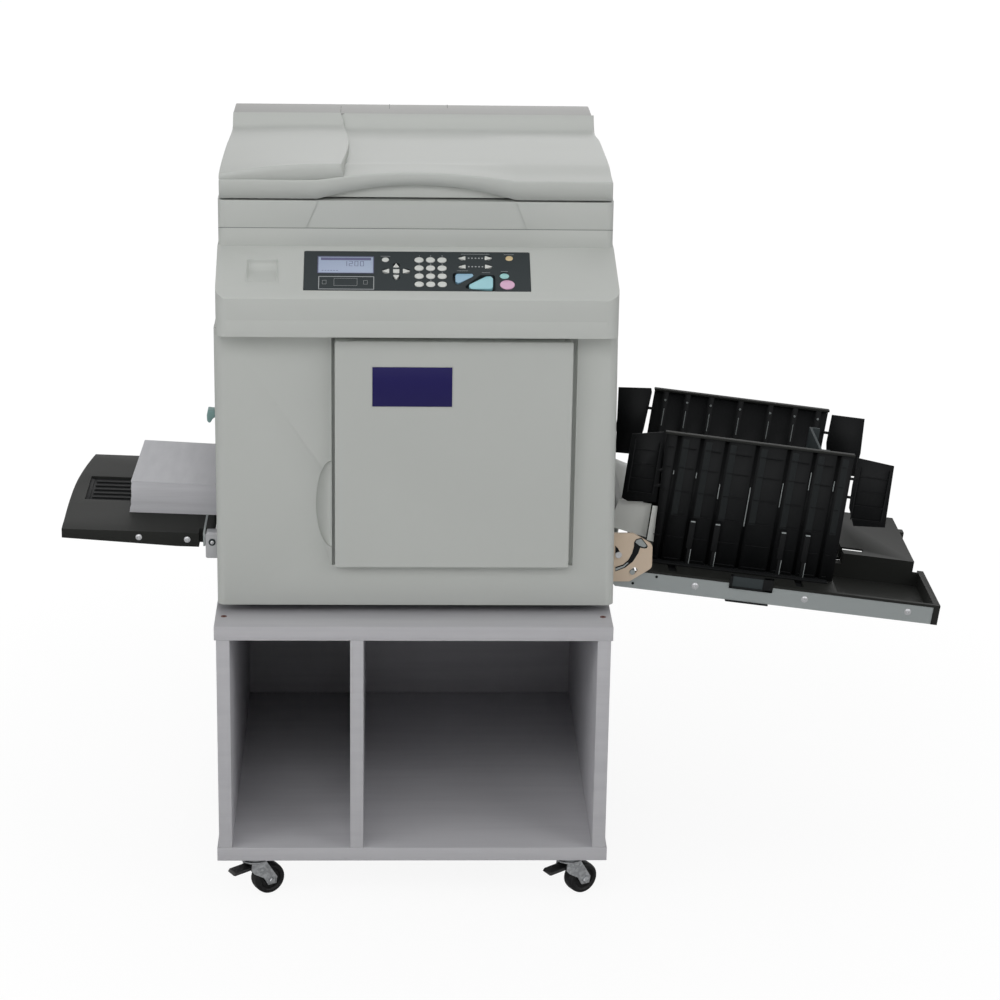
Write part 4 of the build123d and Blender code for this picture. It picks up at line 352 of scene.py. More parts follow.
def paper():
    """Copy paper: its edges show the sheets, and a ream isn't quite one tone."""
    finish = Finish("paper_white", Roughness=0.75)
    sheets = finish.noise(1400, 2, (0.01, 0.01, 1))
    reams = finish.noise(60, 1, (0.02, 0.02, 1))
    shadow = sheets * 0.6 + reams * 0.4
    finish.coat(Base_Color=finish.blend(shadow, paint(216, 216, 221), paint(244, 244, 248)))
    finish.relief(sheets, 0.00006)
    return finish.material


def pad():
    finish = Finish("pad_white", Roughness=0.7)
    weave = finish.noise(900, 2)
    finish.coat(Base_Color=finish.blend(weave, paint(220, 220, 220), paint(240, 240, 240)))
    finish.relief(weave, 0.0001)
    return finish.material


def glass():
    finish = Finish("glass_clear", Transmission_Weight=0.85, IOR=1.5)
    film = finish.noise(8, 3)
    finish.coat(Base_Color=finish.blend(film, paint(214, 232, 226), paint(236, 246, 242)),
                Roughness=0.02 + film * 0.05)
    return finish.material


def display():
    """A lit liquid-crystal display: brighter in the middle, with a fine dot grid."""
    finish = Finish("display", Emission_Strength=0.22, Specular_IOR_Level=0.3)
    glow = finish.noise(16, 1)
    dots = finish.add("ShaderNodeTexVoronoi", None, {"Vector": finish.where, "Scale": 1400.0}, "Distance")
    tone = finish.blend(glow, paint(158, 168, 192), paint(168, 182, 200))
    finish.coat(Base_Color=finish.blend(dots * 0.25, tone, paint(120, 130, 164)), Emission_Color=tone,
                Roughness=0.22 + dots * 0.1)
    return finish.material


FINISH["paper_white"] = paper()
FINISH["pad_white"] = pad()
FINISH["glass_clear"] = glass()
FINISH["display"] = display()
FINISH["ink_grey"] = moulded("ink_grey", paint(104, 104, 140), 0.5, 0.5, 0.002)
FINISH["mark_white"] = moulded("mark_white", paint(176, 180, 182), 0.5, 0.5, 0.002)
print("finishes", len(FINISH))

# %% [markdown]
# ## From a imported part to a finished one
#
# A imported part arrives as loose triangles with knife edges, and real mouldings and boards have
# small rounded edges that catch the light. A copy of the part is welded, its flat faces are
# joined again, and its sharp edges get a small bevel. A Bevel modifier could do this live, but
# then the edges can't be picked by length or place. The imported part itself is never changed:
# the copy replaces it, and rides on the same body.

# %% Helpers for shaping and finishing pieces
BODY_OF = {node: body for body, nodes in frame["record"]["behaviour"]["bodies"].items() for node in nodes}
SLOT_OF = {part["node"]: part["material_slot"] for part in frame["record"]["subparts"]}


def finish_piece(bm, name, body, slot, finish=None, replaces=(), smooth=35):
    """Turns a shape in machine millimetres into a piece of the model."""
    bmesh.ops.remove_doubles(bm, verts=bm.verts, dist=0.004)
    bmesh.ops.recalc_face_normals(bm, faces=bm.faces)
    return keep_piece(bm, name, body, slot, finish, replaces, smooth)


def keep_piece(bm, name, body, slot, finish=None, replaces=(), smooth=35):
    """The same for a shape whose faces already point the right way."""
    for face in bm.faces:
        face.smooth = True
    for edge in bm.edges:
        edge.smooth = edge.calc_face_angle(0.0) < math.radians(smooth)
    bm.transform(TO_ROW)
    mesh = bpy.data.meshes.new(name)
    bm.to_mesh(mesh)
    bm.free()
    mesh.materials.append(FINISH[finish or slot])
    piece = bpy.data.objects.new(name, mesh)
    bpy.context.collection.objects.link(piece)
    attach(piece, body)
    if replaces:
        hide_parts(*replaces)
    return piece


def copy_of(node):
    """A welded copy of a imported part, in machine millimetres, with its flat faces joined."""
    bm = bmesh.new()
    bm.from_mesh(frame["nodes"][node].data)
    bm.transform(FROM_ROW)
    bmesh.ops.remove_doubles(bm, verts=bm.verts, dist=0.002)
    bmesh.ops.dissolve_limit(bm, angle_limit=math.radians(0.6), verts=bm.verts, edges=bm.edges)
    return bm


def round_edges(bm, width, segments=2, picked=None, sharp=40, shortest=4):
    """Bevels the sharp edges that are long enough to take the width."""
    edges = []
    for edge in bm.edges:
        if len(edge.link_faces) != 2 or edge.calc_length() < shortest * width:
            continue
        if edge.calc_face_angle(0.0) > math.radians(sharp) and (picked is None or picked(edge)):
            edges.append(edge)
    bmesh.ops.bevel(bm, geom=edges, offset=width, offset_type="OFFSET", segments=segments, profile=0.5,
                    affect="EDGES", clamp_overlap=True, material=-1)
    return len(edges)


def middle(edge):
    return (edge.verts[0].co + edge.verts[1].co) / 2


def soften(node, width, segments=2, picked=None, finish=None, shortest=4, move=None):
    """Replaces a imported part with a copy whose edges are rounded. move can shift its points a little."""
    bm = copy_of(node)
    for vert in bm.verts if move else ():
        vert.co = move(vert.co)
    count = round_edges(bm, width, segments, picked, shortest=shortest)
    piece = keep_piece(bm, node + "_finished", BODY_OF[node], SLOT_OF[node], finish, (node,))
    print(node, "edges rounded:", count, "faces:", len(piece.data.polygons))
    return piece


# %% [markdown]
# ## Simple shapes
#
# Small added pieces, such as screws, marks and ribs, are blocks, rods, turned shapes and flat
# plates. Each helper wraps one bmesh operator, so that a shape is one line of measures. They add
# to the mesh that they are given, because one piece may be made of many of them.

# %% Blocks, rods, turned shapes and plates


def block(bm, x0, x1, y0, y1, z0, z1):
    """A box between two corners."""
    size = Matrix.Diagonal((abs(x1 - x0), abs(y1 - y0), abs(z1 - z0), 1))
    place = Matrix.Translation(((x0 + x1) / 2, (y0 + y1) / 2, (z0 + z1) / 2))
    return bmesh.ops.create_cube(bm, size=1, matrix=place @ size)["verts"]


def soft_block(bm, x0, x1, y0, y1, z0, z1, width, segments=2):
    """A box with rounded edges."""
    verts = block(bm, x0, x1, y0, y1, z0, z1)
    edges = {edge for vert in verts for edge in vert.link_edges}
    bmesh.ops.bevel(bm, geom=list(edges), offset=width, offset_type="OFFSET", segments=segments,
                    profile=0.5, affect="EDGES", clamp_overlap=True, material=-1)


def rod(bm, start, end, radius, sides=24):
    """A rod between two points."""
    start, end = Vector(start), Vector(end)
    length = end - start
    place = Matrix.Translation((start + end) / 2) @ length.to_track_quat("Z", "Y").to_matrix().to_4x4()
    bmesh.ops.create_cone(bm, cap_ends=True, segments=sides, radius1=radius, radius2=radius,
                          depth=length.length, matrix=place)


def turned(bm, profile, start, along, sides=32):
    """A turned shape: the profile's points are (distance along, radius)."""
    place = Matrix.Translation(start) @ Vector(along).to_track_quat("Z", "Y").to_matrix().to_4x4()
    verts = [bm.verts.new(place @ Vector((radius, 0, height))) for height, radius in profile]
    edges = [bm.edges.new(pair) for pair in zip(verts, verts[1:])]
    bmesh.ops.spin(bm, geom=verts + edges, cent=place.translation, axis=place.to_3x3() @ Vector((0, 0, 1)),
                   angle=math.tau, steps=sides, use_merge=True, use_duplicate=False)


def plate(bm, outline, depth):
    """A flat outline, given as points, that is pushed out by a vector."""
    face = bm.faces.new([bm.verts.new(point) for point in outline])
    made = bmesh.ops.extrude_face_region(bm, geom=[face])
    verts = [item for item in made["geom"] if isinstance(item, bmesh.types.BMVert)]
    bmesh.ops.translate(bm, verts=verts, vec=Vector(depth))
    return [*face.verts, *verts]


def carry(bm, matrix):
    """Moves everything made so far onto the slope or the tray."""
    bmesh.ops.transform(bm, matrix=matrix, verts=bm.verts[:])


print("shaping helpers are ready")

# %% [markdown]
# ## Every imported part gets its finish
#
# Before any part is swapped, each one gets the finish that its slot in the record names. Parts
# that are right as they are, such as rods and plates inside the machine, stay like that.

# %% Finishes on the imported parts
for node, packed in frame["nodes"].items():
    packed.data.materials.clear()
    packed.data.materials.append(FINISH[SLOT_OF[node]])
print("packed parts finished", len(frame["nodes"]))

# %% [markdown]
# ## The stand
#
# The stand is six melamine boards with a printed ash grain and thin edging tape. The boards could
# be drawn again as boxes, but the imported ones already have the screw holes, so their edges are
# only rounded by 0.7 mm, as edging tape is. Four countersunk cap screws, turned from one profile,
# keep the big plain top believable from close by.

# %% Boards and screws
for board_name in ("stand_top", "stand_bottom", "stand_left_side", "stand_right_side", "stand_divider",
                   "stand_back"):
    soften(board_name, 0.7, 2)

bm = bmesh.new()
for x in (-287, 287):
    for y in (45, 595):
        turned(bm, [(-42, 0), (-42, 2.4), (-3, 2.4), (-2.4, 4.6), (-0.5, 4.9), (0, 4.4), (0, 2.2), (-1.4, 1.8),
                    (-1.4, 0)], (x, y, 458), (0, 0, 1), 20)
caps = finish_piece(bm, "stand_screw_caps", "cabinet", "screw_brown", replaces=("stand_screws",))
print("screw caps, faces", len(caps.data.polygons))

# %% [markdown]
# ## Castors
#
# A castor wheel is a turned part: a tread with soft shoulders, a thin web and a hub. Its half
# section is drawn once and spun round the axle. The fork is pressed sheet, so its edges are
# rounded only a little, and a ball race ring and an axle bolt are added where the real castor
# has them.

# %% Wheels, forks and plates
WHEEL_SECTION = [(-12, 4.2), (-12, 8.5), (-11, 9), (-9.2, 9.6), (-8.4, 15.5), (-10.6, 17), (-11.6, 19), (-11.4, 22),
                 (-9, 24.4), (-5, 25), (5, 25), (9, 24.4), (11.4, 22), (11.6, 19), (10.6, 17), (8.4, 15.5),
                 (9.2, 9.6), (11, 9), (12, 8.5), (12, 4.2), (-12, 4.2)]
CASTORS = {"front_left": (-244, 32, 30), "front_right": (244, 32, 30), "rear_left": (-244, 608, -18),
           "rear_right": (244, 608, 52)}
for corner, (x, y, degrees) in CASTORS.items():
    angle = math.radians(degrees)
    trail = Vector((math.cos(angle), math.sin(angle), 0))
    axle = Vector((-math.sin(angle), math.cos(angle), 0))
    hub = Vector((x, y, 25)) + trail * 22
    bm = bmesh.new()
    turned(bm, WHEEL_SECTION, hub, axle, 40)
    finish_piece(bm, "castor_tyre_" + corner, "wheel_" + corner, "wheel_black",
                 replaces=("castor_wheel_" + corner,), smooth=50)
    bm = copy_of("castor_fork_" + corner)
    round_edges(bm, 0.4, 2, sharp=60)
    for side in (-1, 1):
        turned(bm, [(15.5, 5.6), (17.2, 5.6), (18.6, 4.2), (18.6, 0)], hub, axle * side, 6)
    turned(bm, [(60, 21), (61.6, 22.6), (63.2, 22.6), (63.6, 21.5)], (x, y, 0), (0, 0, 1), 32)
    keep_piece(bm, "castor_fork_finished_" + corner, "fork_" + corner, "zinc", replaces=("castor_fork_" + corner,))
soften("castor_plates", 0.5)
for side in ("left", "right"):
    bm = copy_of("brake_pedal_" + side)
    round_edges(bm, 1.0, 2, sharp=50)
    keep_piece(bm, "brake_pedal_finished_" + side, "pedal_" + side, "pedal_black",
               replaces=("brake_pedal_" + side,))
print("castors", len(CASTORS))

# %% [markdown]
# ## Casing
#
# The covers are thin mouldings that meet in seams. Rounded seam edges matter more than anything
# else here, because the light on them draws every line in the picture. The mouldings have draft,
# so the right side stands out a little towards its foot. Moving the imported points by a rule
# keeps every hole and seam, which a new drawing would have to repeat.

# %% Covers


def lean_out(co):
    """The right side of the body leans out a little towards its foot."""
    if co.x < 250:
        return co
    return Vector((co.x + (co.x - 250) / 47 * (2.6 + 3.6 * (826 - co.z) / 357), co.y, co.z))


soften("front_cover", 0.8, 2, shortest=6, move=lean_out)
soften("left_cover", 0.8, 2)
soften("right_cover", 0.8, 2, move=lean_out)
soften("rear_cover", 0.7, 2)
soften("base_pan", 0.6, 2)
soften("machine_feet", 1.2, 2)
soften("power_inlet", 0.4, 1, shortest=3)

# %% [markdown]
# ## Finger hollow
#
# The hollow beside the door is a smooth scoop in the real cover. A cut would leave flat walls, so
# it is a dished skin: a grid that is pulled back in the middle and rounded at its ends. It sits in
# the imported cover's straight-sided well.

# %% Finger hollow
bm = bmesh.new()
bmesh.ops.create_grid(bm, x_segments=24, y_segments=48, size=1)
for vert in bm.verts:
    across, up = vert.co.x, vert.co.y
    reach = math.sqrt(max(0.0, 1 - up * up))
    depth = 8.4 * (1 - (across * 0.999) ** 2) ** 0.5 * reach ** 0.8
    vert.co = (-124 - 23.9 * (1 + across) / 2 * reach, 55.2 + min(depth, 8.4), 634.5 + 67.8 * up)
hollow = finish_piece(bm, "finger_scoop", "cabinet", "casing_grey")
skin = hollow.modifiers.new("skin", "SOLIDIFY")
skin.thickness = 0.0004
skin.offset = 0
print("finger hollow faces", len(hollow.data.polygons))

# %% [markdown]
# ## Smooth curves
#
# Moulded surfaces are drawn as a few measured heights with a smooth curve through them. A spline
# object could do it, but it has to be turned into a mesh and measured again. These two functions
# give the height at any place, so a grid can follow them.

# %% Curves through measured points


def smooth_step(value, start, end):
    share = min(1.0, max(0.0, (value - start) / (end - start)))
    return share * share * (3 - 2 * share)


def through(points, value):
    """A smooth height through (place, height) points."""
    if value <= points[0][0]:
        return points[0][1]
    for number in range(len(points) - 1):
        (p0, h0), (p1, h1) = points[number], points[number + 1]
        if value <= p1:
            before = points[max(0, number - 1)]
            after = points[min(len(points) - 1, number + 2)]
            rise0 = (p1 - p0) * (h1 - before[1]) / (p1 - before[0])
            rise1 = (p1 - p0) * (after[1] - h0) / (after[0] - p0)
            t = (value - p0) / (p1 - p0)
            return (h0 * (2 * t ** 3 - 3 * t * t + 1) + rise0 * (t ** 3 - 2 * t * t + t)
                    + h1 * (3 * t * t - 2 * t ** 3) + rise1 * (t ** 3 - t * t))
    return points[-1][1]


print("a step half way up", smooth_step(0.5, 0, 1))

# %% [markdown]
# ## Hood
#
# The hood overhangs the body and carries the sloping control face. It is two mouldings with a
# seam between them, and its sides have draft too. The pocket beside the panel is a finger rest.
# A box cut would leave it with hard edges, so its lining is a grid that follows a drawn section
# and fades into the slope at both sides.

# %% Hood mouldings


def draw_in(co):
    """The hood's sides have draft: they stand in a little, on the right more at the top of the slope."""
    if co.x < -260:
        return Vector((-260 + (co.x + 260) * 32 / 39, co.y, co.z))
    if co.x > 200:
        share = min(1.0, max(0.0, (co.y - 18) / 92))
        return Vector((200 + (co.x - 200) * (97.3 - 5.1 * share) / 99, co.y, co.z))
    return co


soften("upper_housing", 2.2, 3, lambda edge: middle(edge).y < 112 or abs(middle(edge).x) > 284, move=draw_in)
soften("panel_skirt", 1.2, 3, move=draw_in)
POCKET_SIDE = [(29, 0.2), (45, -3.9), (60, -8.4), (66, -8.6), (71, -7.6), (75, -4.6), (77.5, 0.2)]
bm = bmesh.new()
bmesh.ops.create_grid(bm, x_segments=40, y_segments=60, size=1)
for vert in bm.verts:
    x, s = -224.5 + 23.6 * vert.co.x, 53.7 + 24.3 * vert.co.y
    deep = smooth_step(23.6 - abs(x + 224.5), 0.4, 3.2)
    vert.co = (x, s, 0.25 + (through(POCKET_SIDE, s) - 0.25) * deep)
carry(bm, ON_SLOPE)
lining = keep_piece(bm, "pocket_lining", "cabinet", "casing_light")
skin = lining.modifiers.new("skin", "SOLIDIFY")
skin.thickness = 0.0004
skin.offset = 0

# %% [markdown]
# ## Control panel
#
# The keypad is a black sheet with white outlines, a small display and keys of several shapes.
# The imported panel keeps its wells, so the keys can travel. The printed marks are thin plates a
# tenth of a millimetre high: real geometry keeps them sharp from any distance and needs no
# picture.

# %% Keypad and marks
soften("control_panel", 0.35, 2, lambda edge: True, shortest=8)


def bar(bm, x0, x1, s0, s1, low=0.45, high=0.62):
    """A thin mark on the keypad, given across and up the slope."""
    block(bm, x0, x1, s0, s1, low, high)


def outline(bm, x0, x1, s0, s1, line):
    bar(bm, x0, x1, s0, s0 + line)
    bar(bm, x0, x1, s1 - line, s1)
    bar(bm, x0, x0 + line, s0, s1)
    bar(bm, x1 - line, x1, s0, s1)


SEGMENTS = {"0": "abcdef", "1": "bc", "2": "abged", "3": "abgcd", "4": "fgbc", "5": "afgcd", "6": "afgedc",
            "7": "abc", "8": "abcdefg", "9": "abcdfg"}


def digit(bm, figure, x, s, width, height, line, low=0.45, high=0.6):
    """A figure made of seven bars, with its lower left corner at x and s."""
    half = height / 2
    places = {"a": (0, width, height - line, height), "g": (0, width, half - line / 2, half + line / 2),
              "d": (0, width, 0, line), "f": (0, line, half, height), "b": (width - line, width, half, height),
              "e": (0, line, 0, half), "c": (width - line, width, 0, half)}
    for segment in SEGMENTS[figure]:
        x0, x1, s0, s1 = places[segment]
        bar(bm, x + x0, x + x1, s + s0, s + s1, low, high)


bm = bmesh.new()
outline(bm, -142.5, -61.4, 15.3, 42.3, 1.1)
outline(bm, -120.0, -86.0, 23.0, 38.0, 0.35)
for x in (-134, -74):
    outline(bm, x - 3, x + 3, 26.0, 34.0, 0.35)
for number, (x, s) in zip("123456789", [(x, s) for s in (77.5, 60.5, 43.7) for x in (4.2, 21.2, 38.2)]):
    digit(bm, number, x - 0.8, s + 7.0, 1.6, 2.6, 0.35)
digit(bm, "0", 21.2 - 0.8, 27.0 + 7.0, 1.6, 2.6, 0.35)
for s in (81.8, 64.0):
    for count in range(5):
        bar(bm, 76.0 + count * 5.0, 78.2 + count * 5.0, s - 1.1, s + 1.1)
for x0, x1, s in ((-52, -38, 84.5), (60, 76, 55.0), (96, 108, 51.5), (124, 134, 54.0), (129, 144, 89.5),
                  (66, 108, 90.0)):
    bar(bm, x0, x1, s, s + 0.5)
carry(bm, ON_SLOPE)
marks = finish_piece(bm, "keypad_marks", "cabinet", "panel_black", "mark_white")
print("keypad marks, faces", len(marks.data.polygons))

# %% [markdown]
# ## Display
#
# The display is a small window with a few plain figures. Text objects would bring a typeface, and
# a real display has none: each figure is seven bars, and a letter for each bar says which are on.

# %% Display
bm = bmesh.new()
soft_block(bm, -143.0, -63.0, 50.0, 83.0, -1.4, 0.42, 0.25)
carry(bm, ON_SLOPE)
finish_piece(bm, "display_face", "cabinet", "display", replaces=("display_window",))
bm = bmesh.new()
bar(bm, -139.5, -66, 76.0, 81.5, 0.40, 0.47)
for place, figure in enumerate("1200"):
    digit(bm, figure, -106.6 + place * 8.2, 63.8, 5.4, 10.4, 0.8, 0.40, 0.5)
for count in range(6):
    bar(bm, -138 + count * 4.2, -135.4 + count * 4.2, 54.0, 55.0, 0.40, 0.47)
outline(bm, -144.2, -61.8, 48.8, 84.2, 0.9)
carry(bm, ON_SLOPE)
figures = finish_piece(bm, "display_figures", "cabinet", "display", "ink_grey")
print("display figures, faces", len(figures.data.polygons))

# %% [markdown]
# ## Key caps
#
# The caps are soft-edged plastic in ovals, triangles and two slanted shapes. The outline is drawn
# on the slope, pushed up, and only the top rim is bevelled, because the lower edge is inside the
# panel. Each group of caps rides on the key that it covers, so it travels when it is pressed.

# %% Key caps


def key_cap(bm, points, top=1.3, width=0.6, foot=-4.5):
    """A key from its outline on the slope: a straight wall and a rounded top edge."""
    verts = plate(bm, [(x, s, foot) for x, s in points], (0, 0, top - foot))
    rim = [edge for edge in bm.edges if all(vert in verts and vert.co.z > top - 0.1 for vert in edge.verts)]
    bmesh.ops.bevel(bm, geom=rim, offset=width, offset_type="OFFSET", segments=3, profile=0.5, affect="EDGES",
                    clamp_overlap=True, material=-1)


def oval(x, s, rx, ry, sides=28):
    turns = [k * math.tau / sides for k in range(sides)]
    return [(x + rx * math.cos(turn), s + ry * math.sin(turn)) for turn in turns]


def rounded(corners, radius, steps=4):
    """An outline whose corners are rounded."""
    points = []
    for number, corner in enumerate(corners):
        corner = Vector(corner)
        before = (Vector(corners[number - 1]) - corner).normalized()
        after = (Vector(corners[(number + 1) % len(corners)]) - corner).normalized()
        for step in range(steps + 1):
            t = step / steps
            points.append(tuple(corner + before * radius * (1 - t) ** 2 + after * radius * t ** 2))
    return points


def finish_caps(node, outlines):
    bm = bmesh.new()
    for points in outlines:
        key_cap(bm, points)
    carry(bm, ON_SLOPE)
    finish_piece(bm, node + "_caps", BODY_OF[node], SLOT_OF[node], replaces=(node,))


MASTER_OUTLINE = [(59.1, 48.6), (82.2, 48.8), (83.6, 45), (81.1, 41.9), (65.2, 30.8), (61, 29.5), (57.2, 32.8),
                  (57, 44.7)]
PRINT_OUTLINE = [(102.1, 43.6), (109.4, 43.7), (112.1, 39.2), (111.7, 21.4), (109.3, 17.8), (79.6, 17.5),
                 (76.7, 21.7), (77.4, 26.4)]
finish_caps("number_keys", [oval(x, s, 6.7, 5.5) for s in (77.3, 60.3, 43.5, 26.7) for x in (4.2, 21.0, 37.9)])
ARROWS = [[(-34.2, 61.4), (-29.3, 69.9), (-24.4, 61.4)], [(-50.2, 53.5), (-39.5, 58.6), (-39.5, 48.8)],
          [(-8.4, 53.8), (-19.5, 48.8), (-19.5, 58.6)], [(-29.3, 35.8), (-34.2, 45.5), (-24.4, 45.5)],
          [(61.3, 81.4), (72.4, 85.7), (72.4, 77.1)], [(111.9, 81.9), (100.8, 77.6), (100.8, 86.2)],
          [(61.4, 63.6), (72.4, 67.9), (72.4, 59.3)], [(112, 64.1), (100.8, 59.8), (100.8, 68.4)]]
finish_caps("arrow_keys", [*(rounded(corners, 1.6) for corners in ARROWS), oval(-45, 77.2, 5.2, 4.5),
                           rounded([(-33.8, 49.8), (-24.6, 49.8), (-24.6, 57.5), (-33.8, 57.5)], 0.8)])
finish_caps("master_key", [rounded(MASTER_OUTLINE, 1.2)])
finish_caps("print_key", [rounded(PRINT_OUTLINE, 1.2)])
finish_caps("test_key", [oval(128.9, 44.4, 6.9, 5.5)])
finish_caps("stop_key", [oval(132.8, 26.6, 10.8, 9.4, 40)])
finish_caps("wake_key", [oval(136.8, 81.6, 5.5, 5.0)])
print("keys are shaped")

# %% [markdown]
# ## Front door
#
# The door stands 17 mm proud of the cover. Its edge is rounded, and a dark blue plate sits in a
# shallow frame near its top. The plate is blank.

# %% Door and its plate
soften("front_door", 0.9, 2, lambda edge: middle(edge).y < 45, shortest=6)
bm = bmesh.new()
soft_block(bm, -63.6, 54.0, 37.0, 38.4, 792.4, 852.8, 0.5)
finish_piece(bm, "door_plate", "front_door", "casing_grey", "badge_violet")
bm = bmesh.new()
for x0, x1, z0, z1 in ((-64.8, -63.7, 791.2, 854), (54.1, 55.2, 791.2, 854), (-64.8, 55.2, 791.2, 792.3),
                       (-64.8, 55.2, 852.9, 854)):
    soft_block(bm, x0, x1, 37.5, 38.4, z0, z1, 0.25)
plate_frame = finish_piece(bm, "door_plate_frame", "front_door", "casing_grey")
print("door plate frame faces", len(plate_frame.data.polygons))

# %% [markdown]
# ## Scanner and its lid
#
# The scanner under the lid is two boxes with a sloping-sided grip panel in front. The lid is the
# only free-form surface of the machine: a low rim that swells over the hand recess, a shallow
# dish, and a rise to the hinge cover at the back. Its top is a grid whose height comes from a
# few measured points, joined by smooth steps. The rim walls are the grid's border pulled down,
# and a Solidify modifier gives the shell its wall.

# %% Scanner boxes
soften("scanner_base", 0.9, 2)
soften("scanner_frame", 1.3, 3)
# A thin dark strip along the seam between the scanner's two boxes: the painted shadow of their gap.
bm = bmesh.new()
block(bm, -290.2, 290.2, 109.8, 110.2, 1043.4, 1044.3)
finish_piece(bm, "scanner_seam", "cabinet", "casing_grey", "seam_painted_shadow")

# %% [markdown]
# ## Heights of the lid
#
# A lid like this is drawn in side view first. The lists give its height at a few places from
# front to back, and a smooth curve runs through them. Sums across the lid add the arch over the
# hand recess and the shallow dish. Functions are used because the side cover needs the same
# heights where it meets the lid.

# %% Heights of the lid


LID_SIDE = [(110, 1115.8), (148, 1117.4), (200, 1122.6), (319, 1119.8), (407, 1116.4), (470, 1109.5),
            (505, 1106.2), (524, 1107.5), (538, 1115), (548, 1125.5), (552, 1127)]
COVER_SIDE = [(110, 1122.6), (164, 1125), (305, 1121), (420, 1113), (496, 1107.8), (526, 1109), (538, 1117.5),
              (549, 1127.2)]
COVER_EDGE = [(110, -112), (135, -109.7), (191, -106.2), (260, -103.2), (345, -102.1), (459, -106.3), (531, -112),
              (549, -117)]
COVER_CLIMB = [(110, 17.4), (135, 13.5), (191, 9.6), (260, 7), (345, 4.8), (459, 4.4), (520, 3.2), (549, 0.6)]


def arch(x):
    return max(0.0, 1 - (x / 145) ** 2)


def recess_height(x):
    """The lower edge of the lid's front wall, which lifts over the hand recess."""
    return 1088 + 21.7 * arch(x - 1)


def lid_height(x, y):
    height = through(LID_SIDE, y)
    height += 11.5 * arch(x) * (1 - smooth_step(y, 112, 235))
    dish = smooth_step(y, 175, 215) * (1 - smooth_step(y, 430, 520)) * (1 - smooth_step(x, 75, 150))
    height -= 3.6 * dish
    if x < -112:
        height -= 3.0 * smooth_step(y, 118, 140)
    return height


def cover_height(x, y):
    """The raised cover on the left of the lid climbs towards its right edge."""
    share = min(1.0, (x + 289) / 177)
    rise = 0.85 * (1 - (1 - share) ** 2.4) + 0.15 * share
    return through(COVER_SIDE, y) + through(COVER_CLIMB, y) * rise


print("rim over the recess", round(lid_height(0, 110), 1), "dish", round(lid_height(0, 330), 1))

# %% [markdown]
# ## Lid shell
#
# A grid takes the heights, its border is pulled down as a skirt, and the new rim is bevelled.
# Sculpting could give the same form, but not the same form each time.

# %% Lid shell


def shell(piece, wall):
    """Gives an open skin a wall, inwards."""
    skin = piece.modifiers.new("wall", "SOLIDIFY")
    skin.thickness = wall / 1000
    skin.offset = -1
    skin.use_even_offset = True


def skirt(bm, foot):
    """Pulls the border of a skin down to the height that foot gives."""
    border = [edge for edge in bm.edges if edge.is_boundary]
    made = bmesh.ops.extrude_edge_only(bm, edges=border)["geom"]
    for vert in (item for item in made if isinstance(item, bmesh.types.BMVert)):
        vert.co = foot(vert.co)


bm = bmesh.new()
bmesh.ops.create_grid(bm, x_segments=120, y_segments=130, size=1)
for vert in bm.verts:
    x, y = 289 * vert.co.x, 330.5 + 220.5 * vert.co.y
    vert.co = (x, y, lid_height(x, y))
skirt(bm, lambda co: Vector((co.x, co.y, recess_height(co.x) if co.y < 110.01 else 1088)))
bmesh.ops.recalc_face_normals(bm, faces=bm.faces)
round_edges(bm, 2.6, 4, lambda edge: middle(edge).y < 548, shortest=0.2)
lid_shell = finish_piece(bm, "lid_shell", "lid", "casing_light", replaces=("lid_cover",), smooth=60)
shell(lid_shell, 2.5)
print("lid faces", len(lid_shell.data.polygons))

# %% [markdown]
# ## Hand recess under the rim
#
# Under the arch a recessed panel and a lip close the space where the fingers lift the lid. Both
# are flat outlines that follow the arch's own curve, so no gap can open between them.

# %% Hand recess under the rim
bm = bmesh.new()
steps = [-146 + 4 * k for k in range(74)]
panel = [(x, 121.5, min(recess_height(x) + 2.2, lid_height(x, 121) - 2.7)) for x in steps]
plate(bm, [*panel, (146, 121.5, 1088.4), (-146, 121.5, 1088.4)], (0, 3, 0))
low = [(x, 112.3, recess_height(x) + 0.25) for x in steps]
high = [(x, 112.3, recess_height(x) + 2.0) for x in reversed(steps)]
plate(bm, low + high, (0, 10.5, 0))
recess = finish_piece(bm, "hand_recess", "lid", "casing_light")
print("hand recess faces", len(recess.data.polygons))

# %% [markdown]
# ## Raised cover on the left
#
# A second skin lies on the left of the lid and climbs towards its curved right edge. It is a grid
# again, squeezed so that its right side follows the curve, with a short wall down to the lid.

# %% Raised cover on the left
bm = bmesh.new()
bmesh.ops.create_grid(bm, x_segments=44, y_segments=110, size=1)
for vert in bm.verts:
    share, y = (vert.co.x + 1) / 2, 332.5 + 216.5 * vert.co.y
    x = -289 + share * (through(COVER_EDGE, y) + 289)
    vert.co = (x, y, cover_height(x, y))


def cover_foot(co):
    """Where the cover's wall meets the lid: it leans forward in front and out on the right."""
    right_side = co.x > through(COVER_EDGE, co.y) - 0.5
    x = co.x + (1.0 + 4.5 * (1 - smooth_step(co.y, 112, 190)) if right_side else 0)
    y = 111.2 if co.y < 116.1 else co.y
    foot = lid_height(min(x, -112.5) if not right_side else x, y) + (0.2 if y < 112 else -0.8)
    return Vector((x, y, min(foot, co.z - 0.8)))


skirt(bm, cover_foot)
bmesh.ops.recalc_face_normals(bm, faces=bm.faces)
round_edges(bm, 1.3, 3, lambda edge: middle(edge).y < 535, sharp=30, shortest=0.2)
side_cover = finish_piece(bm, "lid_side_shell", "lid", "casing_light", replaces=("lid_side_cover",), smooth=50)
shell(side_cover, 1.8)
print("raised cover faces", len(side_cover.data.polygons))
